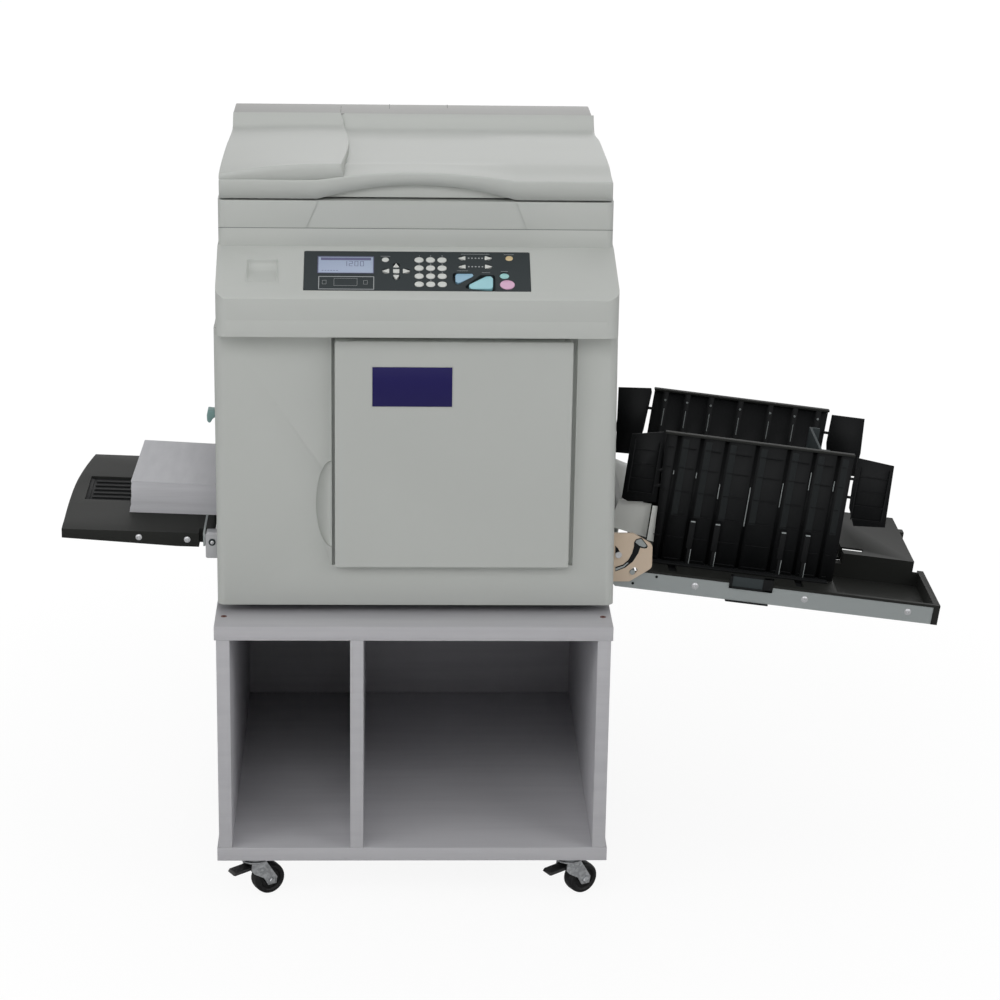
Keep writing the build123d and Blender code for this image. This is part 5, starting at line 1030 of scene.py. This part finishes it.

# %% [markdown]
# ## Hinge cover
#
# The hinge cover is one long section, so it is drawn from the side and pushed across the machine.
# Its seams are thin dark strips, a painted shadow in place of gaps of half a millimetre, because
# a real gap would need cuts that nobody sees into.

# %% Hinge cover at the back of the lid
bm = bmesh.new()
REAR_SECTION = [(551.2, 1092), (551.2, 1126.6), (553, 1126.9), (600, 1126.2), (634, 1124.9), (641, 1122.8),
                (644.4, 1118), (645, 1112), (645, 1090), (640, 1090), (640, 1112), (556, 1112), (556, 1092)]
plate(bm, [(-289, y, z) for y, z in REAR_SECTION], (575, 0, 0))
ends = [edge for edge in bm.edges if abs(edge.verts[0].co.x - edge.verts[1].co.x) < 0.1 and middle(edge).z > 1112
        and middle(edge).y > 552]
bmesh.ops.bevel(bm, geom=ends, offset=3.0, offset_type="OFFSET", segments=3, profile=0.5, affect="EDGES",
                clamp_overlap=True, material=-1)
for side in (-1, 1):
    x0, x1 = sorted((side * 210.3, side * 228.3))
    soft_block(bm, x0, x1, 640, 652, 1094, 1101, 0.8)
    rod(bm, (x0, 650, 1094), (x1, 650, 1094), 6.0)
finish_piece(bm, "lid_hinge_cover", "lid", "casing_light", "casing_shade", replaces=("lid_rear_cover",), smooth=32)
# Thin dark strips on the hinge cover: the painted shadow of its seams.
bm = bmesh.new()
for x, y0, y1 in ((-117.4, 553, 613), (-39.2, 584, 634), (54.9, 595, 634)):
    for y in (y0, (y0 + y1) / 2):
        block(bm, x - 0.4, x + 0.4, y, y + (y1 - y0) / 2, 1124.6, 1127.1 - (y + 12 - 552) * 0.018)
seams = finish_piece(bm, "lid_seam_lines", "lid", "casing_light", "seam_painted_shadow")
print("seam lines, faces", len(seams.data.polygons))

# %% [markdown]
# ## Pad under the lid
#
# A white foam pad presses the original on the glass. The ribs above it hold it to the lid. They
# are plain blocks, seen only when the lid is up.

# %% Pad under the lid
bm = bmesh.new()
soft_block(bm, -231, 231, 154, 486, 1085.3, 1089.5, 1.2, 3)
for count in range(9):
    x = -184 + count * 46
    soft_block(bm, x - 1, x + 1, 198, 442, 1089, 1104, 0.3)
for count in range(4):
    y = 210 + count * 74
    soft_block(bm, -186, 186, y - 1, y + 1, 1089, 1104, 0.3)
document_pad = finish_piece(bm, "document_pad", "lid", "pad_white", replaces=("lid_pad",))
print("pad faces", len(document_pad.data.polygons))

# %% [markdown]
# ## Glass and carriage
#
# The glass lies in a black painted border, which hides the edge of the opening. Below it the
# carriage holds a long white lamp and a slit.

# %% Glass, border and carriage
soften("platen_glass", 0.4, 2)
bm = bmesh.new()
for x0, x1, y0, y1 in ((-224.9, 224.9, 160.1, 168), (-224.9, 224.9, 472, 479.9), (-224.9, -217, 168, 472),
                       (217, 224.9, 168, 472)):
    block(bm, x0, x1, y0, y1, 1080.7, 1080.95)
finish_piece(bm, "glass_border", "cabinet", "panel_black")
soften("scan_carriage", 0.8, 2)
bm = bmesh.new()
rod(bm, (-196, 178, 1072), (-196, 462, 1072), 3.2)
block(bm, -188.5, -187.5, 176, 464, 1066, 1077.5)
finish_piece(bm, "carriage_lamp", "scan_carriage", "carriage_black", "pad_white")
print("scanner is finished")

# %% [markdown]
# ## Inside the body
#
# With the door open the frame plate, the drum and its rollers show. The plate is folded sheet
# with a fine edge, and the rollers are turned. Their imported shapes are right, so rounding their
# edges is enough.

# %% Frame, drum and rollers
soften("machine_frame", 0.5, 1)
soften("press_roller", 0.8, 2)
soften("feed_roller", 0.8, 2)

# %% [markdown]
# ## The drum's screen
#
# The drum is a steel sheet with thousands of fine holes, which let the ink through. They are far
# too many to model, so a cell pattern darkens and dents the finish where they are.

# %% Drum screen


def screen():
    """Etched steel screen: rows of fine holes between plain rims."""
    finish = Finish("drum_screen", Metallic=0.9)
    holes = finish.add("ShaderNodeTexVoronoi", None, {"Vector": finish.where, "Scale": 700.0}, "Distance")
    cloud = finish.noise(10, 3)
    finish.coat(Base_Color=finish.blend(holes, paint(120, 124, 130), paint(186, 190, 196)),
                Roughness=0.3 + cloud * 0.15)
    finish.relief(holes, 0.00003)
    return finish.material


FINISH["drum_screen"] = screen()
soften("print_drum", 0.8, 2, finish="drum_screen")

# %% [markdown]
# ## Rims, bolts and grip
#
# Two end rings hold the screen, and a green grip is there to pull the drum out by. The bolts on
# the frame plate are turned with six sides, which makes a hexagon head without a boolean.

# %% Rims, bolts and grip
bm = bmesh.new()
for y, way in ((106.5, 1), (492.5, -1)):
    turned(bm, [(0, 86), (0, 90.15), (9, 90.15), (9, 89.9)], (56, y + 0.6 * way, 748), (0, way, 0), 64)
for k in range(6):
    a = k * math.tau / 6
    x, z = 56 + 60 * math.cos(a), 748 + 60 * math.sin(a)
    rod(bm, (x, 105.4, z), (x, 107.4, z), 4, sides=6)
finish_piece(bm, "drum_rims", "print_drum", "drum_steel")
bm = bmesh.new()
for x, z in ((-250, 865), (250, 865), (250, 540), (-250, 505), (-40, 880), (160, 880), (-200, 700), (220, 700)):
    turned(bm, [(0, 7), (1.2, 7), (1.4, 5.6), (4.2, 5.4), (4.6, 4.4), (4.6, 0)], (x, 96, z), (0, -1, 0), 6)
finish_piece(bm, "frame_bolts", "cabinet", "pin_steel")
bm = bmesh.new()
soft_block(bm, 9.5, 102.5, 71, 81, 687, 705, 2.5, 3)
finish_piece(bm, "drum_grip", "cabinet", "frame_steel", "lever_teal")

# %% [markdown]
# ## Feed side
#
# Paper lies half on the feed tray outside and half on the table inside. The tray is one dark
# moulding with a lower, slotted middle panel, and it falls a little towards the body. Its edges
# are rounded more than the casing's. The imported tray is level, so one rule bends its points, and
# the ribs that are laid into its slots follow the same rule.

# %% Feed tray


TRAY_CURVE = [(112, -7.5), (165, -1.5), (250, 3.5), (350, 6), (483, 10)]
TRAY_TIP, TRAY_ROOT, TRAY_FALL = -523, -323, 0.033


def droop(co):
    """The feed tray falls towards the body, and its outer edge is a skewed curve."""
    on_panel = 255 < co.y < 390 and -515 < co.x < -340
    stretch = 8 * smooth_step(-co.x, 480, 500) if on_panel else 0
    bulge = 0 if stretch else through(TRAY_CURVE, co.y) * min(1.0, max(0.0, (-co.x - 400) / 127))
    fall = 1.5 + TRAY_FALL * (min(co.x, TRAY_ROOT) - TRAY_TIP)
    return Vector((co.x - stretch + bulge, co.y - 10 if on_panel else co.y, co.z - fall))


soften("feed_tray", 1.8, 3, lambda edge: middle(edge).z > 550, shortest=4, move=droop)
# The ribs are real parts, but their darker black is painted shade in the recessed panel.
bm = bmesh.new()
for row in range(5):
    y = 264 + 19 * (row + 1)
    soft_block(bm, -496, -352, y - 3.2, y + 3.2, 570.9, 573.6, 0.8)
soft_block(bm, -507, -499, 268, 374, 570.9, 572.5, 0.6)
for vert in bm.verts:
    vert.co = droop(vert.co)
finish_piece(bm, "feed_tray_ribs", "feed_tray", "tray_black", "fence_black")
# A thin plate darker than the tray on the panel's floor: painted shade in the recess.
bm = bmesh.new()
soft_block(bm, -508, -342, 265, 377, 570.7, 571.5, 0.3)
for vert in bm.verts:
    vert.co = droop(vert.co)
tray_floor = finish_piece(bm, "feed_tray_floor", "feed_tray", "tray_black", "fence_black")
print("tray floor faces", len(tray_floor.data.polygons))

# %% [markdown]
# ## Screws
#
# Two bright pan-head screws hold the tray's wall. Half of their section is drawn and spun round,
# with a small hollow for the driver and a washer below.

# %% Pan-head screws


def pan_screw(bm, place, along, radius):
    """A pan-head screw on its washer, with a hollow for the driver."""
    turned(bm, [(0, radius), (0.3 * radius, radius), (0.42 * radius, 0.8 * radius), (0.46 * radius, 0.34 * radius),
                (0.2 * radius, 0.3 * radius), (0.2 * radius, 0)], place, along, 20)
    washer = [(0, radius * 1.25), (0.12 * radius, radius * 1.25), (0.12 * radius, 0.9 * radius)]
    turned(bm, washer, place, along, 20)


bm = bmesh.new()
for x, z in ((-418, 560.6), (-344.8, 557.0)):
    pan_screw(bm, (x, 112.1, z), (0, -1, 0), 3.9)
screws = finish_piece(bm, "feed_tray_screws", "feed_tray", "pin_steel")
print("tray screws, faces", len(screws.data.polygons))

# %% [markdown]
# ## Feed table
#
# Behind the tray the sheets lie on a steel table that rises in the machine. Its top has to be
# level with the lower end of the tray, so the plate is sunk a little. The tabs that run in the
# frame's slots keep their place, because they would touch the slot's end at the lowest position.

# %% Feed table
TABLE_DROP, TAB_LOW = 8, 573


def table_drop(co):
    """Plate and pins sink to the tray's lower end. The feet stay, and the tabs' ends clear the frame's slots."""
    if co.z < 560:
        return co
    if 111 < co.y < 481:
        return co - Vector((0, 0, TABLE_DROP))
    return Vector((co.x, co.y, max(co.z, TAB_LOW)))


soften("feed_table", 1.0, 2, move=table_drop)
bm = bmesh.new()
turned(bm, [(0, 5.4), (1.2, 5.4), (1.6, 4.8), (1.6, 0)], (-307.0, 112.1, 552.6), (0, -1, 0), 28)
finish_piece(bm, "feed_arm_washer", "feed_table", "panel_black")
bm = bmesh.new()
pan_screw(bm, (-307.0, 110.5, 552.6), (0, -1, 0), 2.3)
finish_piece(bm, "feed_arm_bolt", "feed_table", "pin_steel")
bm = bmesh.new()
soft_block(bm, -320.7, -317.4, 112.5, 455, 546, 567.4, 0.5)
finish_piece(bm, "feed_table_edge", "feed_table", "table_steel", "rail_grey")

# %% [markdown]
# ## Paper
#
# The paper is a block of some 500 sheets. Its corners stay crisp, and its sides are cut into
# twelve layers that are pushed a little to and fro, because a ream is never quite straight. It
# lies on the tray's fall.

# %% Paper
PAPER_MIDDLE = Vector((-339.0, 302.6, 573.7))
PAPER_LENGTH, PAPER_WIDTH, PAPER_HEIGHT, PAPER_SKEW = 192.4, 208.8, 51.2, 5.0
bm = bmesh.new()
bmesh.ops.create_cube(bm, size=1)
bmesh.ops.subdivide_edges(bm, edges=[e for e in bm.edges if abs(e.verts[0].co.z - e.verts[1].co.z) > 0.5], cuts=11,
                          use_grid_fill=True)
for vert in bm.verts:
    slip = 0.35 * math.sin(vert.co.z * 19) + 0.25 * math.sin(vert.co.z * 47 + 1)
    share = vert.co.z + 0.5
    x = PAPER_MIDDLE.x + PAPER_LENGTH * vert.co.x + slip - 3.5 * (1 - share) ** 3 + PAPER_SKEW * (vert.co.y + 0.5)
    foot = PAPER_MIDDLE.z - TRAY_FALL * (x - TRAY_TIP)
    height = PAPER_HEIGHT - 0.02 * (x + 437)
    vert.co = (x, PAPER_MIDDLE.y + PAPER_WIDTH * vert.co.y + slip * 0.6, foot + share * height)
ream = finish_piece(bm, "paper_ream", "feed_table", "paper_white", replaces=("paper_stack",), smooth=20)
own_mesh(ream)
print("paper faces", len(ream.data.polygons))

# %% [markdown]
# ## Release lever
#
# The small green lobe beside the feed opening frees the table. It is a flat outline that is
# pushed back and rounded all over, since a thumb presses it.

# %% Release lever
bm = bmesh.new()
LEVER = [(-310.8, 761), (-306, 760.2), (-296.6, 759.4), (-296.6, 750), (-301.5, 748.6), (-304.5, 745.5),
         (-306.4, 741.6), (-309.5, 740.3), (-312, 744), (-312.4, 752)]
plate(bm, [(x, 118, z) for x, z in LEVER], (0, 20, 0))
round_edges(bm, 1.6, 3, shortest=0.8)
finish_piece(bm, "lever_lobe", "release_lever", "lever_teal", replaces=("release_lever",))
print("feed side is finished")

# %% [markdown]
# ## Delivery side
#
# The printed sheets fall on a tray that hangs between two cream brackets and slopes away from
# the body. Its rails are steel with pan-head screws. Everything on the tray is drawn level, as a
# maker would, and one matrix tilts it.

# %% Brackets, rails and bed
soften("tray_brackets", 0.8, 2)
soften("tray_frame", 0.5, 2)
soften("tray_bed", 0.8, 2, shortest=3)
soften("hinge_pins", 0.5, 2)

bm = bmesh.new()
for u in (126, 298, 461):
    pan_screw(bm, (u, 114.95, -38), (0, -1, 0), 4.4)
carry(bm, ON_TRAY)
finish_piece(bm, "rail_screws", "delivery_tray", "rail_grey", "pin_steel")
bm = bmesh.new()
for u, v in ((30, -46), (65, -31)):
    turned(bm, [(0, 2.2), (0.25, 2.2), (0.25, 0)], (u, 114.9, v), (0, -1, 0), 12)
carry(bm, ON_TRAY)
finish_piece(bm, "rail_holes", "delivery_tray", "rail_grey", "fence_black")

# %% [markdown]
# ## Clip, tab and liner
#
# A plastic clip on the near rail locks the tray, and a dark liner covers the bed's floor except
# where the fences' feet and the end stop run. The liner is thin strips with a slot between them,
# so that nothing touches when those pieces slide.

# %% Clip, tab and liner
bm = bmesh.new()
for u0, u1, v0, v1 in ((178, 246, -34, -30.5), (178, 246, -14, -11), (178, 182.5, -34, -11), (230, 246, -34, -11)):
    soft_block(bm, u0, u1, 112.4, 114.8, v0, v1, 0.6)
soft_block(bm, 176, 243, 113.0, 150.0, -56.6, -54.2, 0.6)
carry(bm, ON_TRAY)
finish_piece(bm, "rail_clip", "delivery_tray", "tray_black", "fence_black")
bm = bmesh.new()
soft_block(bm, 181, 231, 113.4, 114.8, -31, -13, 0.4)
carry(bm, ON_TRAY)
finish_piece(bm, "rail_clip_window", "delivery_tray", "tray_black", "panel_black")
bm = bmesh.new()
soft_block(bm, 100, 424, 262, 302, -46, -45, 0.2)
for y0, y1 in ((118.5, 258), (306, 466.5)):
    soft_block(bm, 58, 334, y0, y1, -27.6, -26.8, 0.2)
carry(bm, ON_TRAY)
liner = finish_piece(bm, "bed_liner", "delivery_tray", "tray_black", "fence_black")
print("bed liner faces", len(liner.data.polygons))

# %% [markdown]
# ## Fences
#
# The sheets fall between two fences that slide apart for wider paper. Each fence is a thin
# moulding that is folded in plan into shallow channels, so it is stiff and still light. The fold
# line is drawn once in plan and once more at its foot, faces join the two, and Solidify gives
# them a wall.

# %% Fences
CHANNELS = (71.5, 107, 145.5, 193.5, 242.7, 283, 321)
PANEL_OUT = 9
CHANNEL_OUT = 3
SIDES = {"near": {"y": 172, "out": -1, "left": (50, 59), "right": (343.5, 345),
                  "bridges": ((46, 100), (46, 125), (344, 149), (344, 119)),
                  "wings": ([(-2, 176.5), (46, 186.5), (47.5, 160), (50, 125), (52, 72.5), (8, 69), (-2, 73)],
                            [(349.5, 183.6), (407.5, 177.8), (411.5, 77.6), (362.3, 73.8), (350.3, 102.2),
                             (348.8, 137.3)])},
         "far": {"y": 392, "out": 1, "left": (53, 50.5), "right": (337, 335.5), "bridges": ((46, 153), (336, 149)),
                 "wings": ([(-6, 181), (46.6, 186.3), (48.6, 180), (45, 115), (36, 73), (6, 72)],
                           [(343.6, 180), (397.5, 180), (401.3, 122), (398, 82), (352, 80), (342.9, 132)])}}


def fence_plan(left, right):
    """The fence seen from above: flat panels with narrow channels between them."""
    points = [(left, PANEL_OUT)]
    for u in CHANNELS:
        points += [(u - 4.6, PANEL_OUT), (u - 3.2, CHANNEL_OUT), (u + 3.2, CHANNEL_OUT), (u + 4.6, PANEL_OUT)]
    return [*points, (right, PANEL_OUT)]


def fence_skin(bm, y, out, left, right, wings):
    top = fence_plan(left[0], right[0])
    foot = fence_plan(left[1], right[1])
    columns = [(bm.verts.new((u0, y + out * d0, -21.4)), bm.verts.new((u1, y + out * d1, 187.4)))
               for (u0, d0), (u1, d1) in zip(foot, top)]
    for (a0, a1), (b0, b1) in zip(columns, columns[1:]):
        bm.faces.new((a0, b0, b1, a1))
    for ring in wings:
        bm.faces.new([bm.verts.new((u, y + out * (PANEL_OUT - 2), v)) for u, v in ring])


# %% [markdown]
# ## Ribs, bridges and feet of a fence
#
# The back of each panel has fine ribs, the wings hang on small hinge bridges, and two feet run in
# the bed. They are all blocks, and their places come from the fold line's channels.

# %% Fence ribs and feet


def fence_trim(bm, y, out, wings, bridges):
    """Ribs, hinge bridges, rails and feet that stiffen the fence."""
    face = y + out * (PANEL_OUT + 1)
    panels = list(zip((55, *[u + 6 for u in CHANNELS]), (*[u - 6 for u in CHANNELS], 334)))
    for u0, u1 in panels:
        for v in (-14, 22, 58, 96, 134, 166):
            soft_block(bm, u0, u1, *sorted((face, face + out * 1.3)), v - 0.5, v + 0.5, 0.2)
    soft_block(bm, 60, 336, *sorted((y + out * 2, y + out * 21)), -21.6, -18.8, 0.6)
    for ring in wings:
        u0, u1 = min(u for u, v in ring) + 7, max(u for u, v in ring) - 8
        for v in (86, 108, 131, 155):
            soft_block(bm, u0, u1, *sorted((face - out * 2, face - out * 0.7)), v - 0.5, v + 0.5, 0.2)
        soft_block(bm, u0 - 1, u0 + 1, *sorted((face - out * 2, face - out * 0.4)), 84, 170, 0.3)
        soft_block(bm, u1 - 1, u1 + 1, *sorted((face - out * 2, face - out * 0.4)), 84, 170, 0.3)
    for u, v in bridges:
        soft_block(bm, u - 2, u + 10, *sorted((y + out * 5.4, y + out * 8.6)), v - 2, v + 2, 0.6)
    for u in (90, 290):
        soft_block(bm, u - 6, u + 6, y + out * 11 - 6, y + out * 11 + 6, -26, -20, 0.6)
    for u in (113, 152, 256, 294):
        soft_block(bm, u - 4.5, u + 4.5, *sorted((face - out, face + out * 4)), 6, 52, 0.9)
        soft_block(bm, u - 1.5, u + 4.5, *sorted((face - out, face + out * 2)), -20, 8, 0.9)


print("channels in a fence", len(CHANNELS))

# %% [markdown]
# ## Both fences
#
# One loop makes both fences from their measures. The near one is seen from behind and the far one
# from inside, so their bright slits, which show daylight on the real fences, are on different
# faces. The slits are not cut: thin grey bars are painted light in place of that daylight.

# %% Both fences
SLITS = {71.5: (120, 126), 107: (118, 127), 145.5: (89, 113), 193.5: (50, 114), 242.7: (88, 127), 283: (121, 150),
         321: (124, 141)}
for side, shape in SIDES.items():
    y, out = shape["y"], shape["out"]
    bm = bmesh.new()
    fence_skin(bm, y, out, shape["left"], shape["right"], shape["wings"])
    carry(bm, ON_TRAY)
    skin = finish_piece(bm, side + "_fence_skin", side + "_fence", "tray_black", "fence_black",
                        (side + "_fence",), 25)
    wall = skin.modifiers.new("wall", "SOLIDIFY")
    wall.thickness = 0.0022
    wall.offset = 0
    bm = bmesh.new()
    fence_trim(bm, y, out, shape["wings"], shape["bridges"])
    carry(bm, ON_TRAY)
    finish_piece(bm, side + "_fence_ribs", side + "_fence", "tray_black", "fence_black")
    bm = bmesh.new()
    face = y + out * (PANEL_OUT + 1)
    soft_block(bm, shape["left"][0] - 1, shape["right"][0] + 1, *sorted((y + out * 2, face + out * 0.8)),
               184.6, 188.2, 0.6)
    carry(bm, ON_TRAY)
    finish_piece(bm, side + "_fence_top", side + "_fence", "tray_black")
    # A strip of paler black beside each channel is painted light: the side of each panel that the light falls on.
    bm = bmesh.new()
    for u in CHANNELS:
        soft_block(bm, u + 5.6, u + 15.5, *sorted((face - out, face + out * 0.5)), 56, 180, 0.3)
    carry(bm, ON_TRAY)
    finish_piece(bm, side + "_fence_strips", side + "_fence", "tray_black", "fence_painted_light")
    # The grey bars in the channels are painted light: they stand for daylight seen through the slits.
    bm = bmesh.new()
    for u in CHANNELS:
        if side == "near":
            low, high = SLITS[u]
            block(bm, u - 0.7, u + 0.7, y - CHANNEL_OUT - 1.35, y - CHANNEL_OUT - 1.1, low, high)
        else:
            block(bm, u - 0.7, u + 0.7, y + 1.6, y + 1.85, 128, 157)
            turned(bm, [(0, 1.9), (0.3, 1.7), (0.5, 0)], (u, y + 1.85, 171), (0, -1, 0), 12)
    for u in (113, 152, 256, 294) if side == "near" else ():
        soft_block(bm, u - 3.6, u + 3.6, *sorted((face + out * 3.4, face + out * 4.3)), 49.5, 51.6, 0.3)
        block(bm, u + 3.3, u + 4.4, *sorted((face + out * 2, face + out * 2.2)), -19, 5)
    carry(bm, ON_TRAY)
    finish_piece(bm, side + "_fence_slits", side + "_fence", "tray_black", "rail_grey")
print("fences", len(SIDES))

# %% [markdown]
# ## End stop and apron
#
# The end stop catches the sheets. At the exit a pale apron guides them down onto the tray. The
# part of it that hides behind the near fence has to slide with the fence, so it is a piece of its
# own that rides on that body.

# %% End stop and exit apron
soften("end_stop", 1.0, 2, finish="panel_black")
bm = bmesh.new()
plate(bm, [(1, 178, 66), (38, 178, 56), (38, 388, 56), (1, 388, 66)], (0, 0, -1.6))
plate(bm, [(1, 178, 66), (1, 388, 66), (2, 388, -14), (2, 178, -14)], (1.4, 0, 0))
plate(bm, [(-4, 176, 66), (-9, 176, 44), (-9, 176, 20), (47, 176, 10), (47, 176, 65)], (0, 1.5, 0))
carry(bm, ON_TRAY)
finish_piece(bm, "exit_apron", "delivery_tray", "rail_grey", "key_white")
bm = bmesh.new()
plate(bm, [(47.6, 165.6, 66), (47.6, 165.6, 9.5), (62, 165.6, 7), (62, 165.6, 66)], (0, 1.0, 0))
carry(bm, ON_TRAY)
flap = finish_piece(bm, "fence_flap", "near_fence", "tray_black", "key_white")
print("fence flap faces", len(flap.data.polygons))

# %% [markdown]
# ## Slots in the near bracket
#
# The near bracket has an arc slot with a hooked end, where the tray's stud runs. The slot and the
# guide in it are thin outlines on the plate's face. They are drawn point by point, because the
# hook isn't a circle or any other plain shape.

# %% Slots in the near bracket
ARC_SLOT = [(309, 508.4), (324.1, 514.7), (335.6, 524.7), (343.4, 538.4), (346, 547.2), (352.6, 545.9),
            (356.1, 546.4), (357.6, 549.7), (354.6, 554.6), (347.3, 563.3), (339.2, 560.8), (336.3, 555.8),
            (336.5, 549.6), (334, 538.4), (328.5, 527.2), (320.5, 519.7), (308.8, 515.4)]
STUD_SLOT = [(307.8, 550.3), (312.2, 545.8), (315.2, 539.6), (312.9, 535.8), (308.2, 537.1)]
HOOK_GUIDE = [(338.4, 556.0), (340.2, 559.6), (347, 561.6), (353.4, 554.2), (355.8, 549.9), (352.2, 548.0),
              (345, 550.4)]
ARC_GUIDE = [(309.2, 509.9), (322.6, 515.9), (329, 522.6), (326.4, 522.8), (321.4, 518.0), (309.2, 513.6)]
for name, finish, y, depth, shapes in (("bracket_slots", "fence_black", 108.1, 0.4, (ARC_SLOT, STUD_SLOT)),
                                       ("bracket_guides", "rail_grey", 107.7, 0.3, (HOOK_GUIDE, ARC_GUIDE))):
    bm = bmesh.new()
    for shape in shapes:
        plate(bm, [(x, y, z) for x, z in shape], (0, -depth, 0))
    finish_piece(bm, name, "cabinet", "bracket_cream", finish)
print("delivery side is finished")

# %% [markdown]
# ## Floor
#
# A picture of a pale machine on white needs a floor that is white in the picture and still keeps
# the machine's shadow. A very bright floor would do the first, but it would light the machine
# from below. So the floor mixes its own pale finish with a white glow that only the camera sees,
# and the glow grows with the distance from the machine.

# %% Floor
FLOOR_HALF, FLOOR_DROP = 9, 0.0005
floor_finish = Finish("studio_floor", Roughness=0.9)
tone = floor_finish.blend(floor_finish.noise(1, 2), paint(250, 250, 250), paint(253, 253, 253))
floor_finish.coat(Base_Color=tone)
seen = floor_finish.add("ShaderNodeLightPath", output="Is Camera Ray")
white = floor_finish.add("ShaderNodeEmission", None, {"Color": (1, 1, 1, 1), "Strength": 1.02})
away = floor_finish.add("ShaderNodeVectorMath", {"operation": "LENGTH"}, {0: floor_finish.where}, "Value")
mixed = floor_finish.add("ShaderNodeMixShader", None, {0: seen * (0.87 + away * 0.075)})
floor_tree = floor_finish.material.node_tree
floor_tree.links.new(floor_finish.shader.outputs["BSDF"], mixed.socket.node.inputs[1])
floor_tree.links.new(white.socket, mixed.socket.node.inputs[2])
floor_tree.links.new(mixed.socket, floor_tree.nodes["Material Output"].inputs["Surface"])
bm = bmesh.new()
bmesh.ops.create_grid(bm, x_segments=2, y_segments=2, size=FLOOR_HALF)
floor_mesh = bpy.data.meshes.new("studio_floor")
bm.to_mesh(floor_mesh)
bm.free()
floor_mesh.materials.append(floor_finish.material)
floor_object = bpy.data.objects.new("studio_floor", floor_mesh)
bpy.context.collection.objects.link(floor_object)
floor_object.location.z = -FLOOR_DROP
print("floor half width", FLOOR_HALF, "m")

# %% [markdown]
# ## Background
#
# The background is white only for the camera, for mirrors and for glass. Everything else sees a
# dim grey room, so the inside of the stand stays dark. The Light Path node tells the two apart.

# %% Background
world = bpy.data.worlds.new("studio")
bpy.context.scene.world = world
world.use_nodes = True
sky = world.node_tree
sky_path = sky.nodes.new("ShaderNodeLightPath")
clear = sky.nodes.new("ShaderNodeMath")
clear.operation = "MAXIMUM"
sky.links.new(sky_path.outputs["Is Camera Ray"], clear.inputs[0])
sky.links.new(sky_path.outputs["Is Transmission Ray"], clear.inputs[1])
shiny = sky.nodes.new("ShaderNodeMath")
shiny.operation = "MAXIMUM"
sky.links.new(clear.outputs[0], shiny.inputs[0])
sky.links.new(sky_path.outputs["Is Glossy Ray"], shiny.inputs[1])
ROOM_LIGHT = 0.16
level = sky.nodes.new("ShaderNodeMath")
level.operation = "MULTIPLY_ADD"
level.inputs[1].default_value = 1 - ROOM_LIGHT
level.inputs[2].default_value = ROOM_LIGHT
sky.links.new(shiny.outputs[0], level.inputs[0])
sky.nodes["Background"].inputs["Color"].default_value = (1, 1, 1, 1)
sky.links.new(level.outputs[0], sky.nodes["Background"].inputs["Strength"])
print("room light", ROOM_LIGHT)

# %% [markdown]
# ## Lamps
#
# Soft studio light comes from big lamps. Two stand in front at the sides and one in the middle, a
# broad one hangs overhead, and a weak one behind keeps the back readable. A colour then renders
# about as it is written.

# %% Lamps


def softbox(name, place, aim, size, power):
    lamp = bpy.data.lights.new(name, "AREA")
    lamp.shape = "RECTANGLE"
    lamp.size, lamp.size_y = size
    lamp.energy = power
    lamp_object = bpy.data.objects.new(name, lamp)
    bpy.context.collection.objects.link(lamp_object)
    place, aim = Vector(place), Vector(aim)
    facing = (place - aim).to_track_quat("Z", "Y").to_matrix().to_4x4()
    lamp_object.matrix_world = Matrix.Translation(place) @ facing
    return lamp_object


softbox("overhead", (0, 0.2, 3.6), (0, 0, 0.6), (3.4, 3.0), 19)
softbox("left", (-2.7, -2.1, 2.2), (0, 0, 0.8), (2.2, 2.0), 25)
softbox("right", (2.7, -2.1, 2.2), (0, 0, 0.8), (2.2, 2.0), 25)
softbox("front", (-0.5, -3.2, 3.0), (0, 0, 0.9), (2.4, 1.6), 26)
softbox("back", (0.6, 3.4, 2.2), (0, 0, 0.7), (2.6, 1.8), 11)
bpy.context.scene.view_settings.view_transform = "Standard"
print("lamps", len(bpy.data.lights))
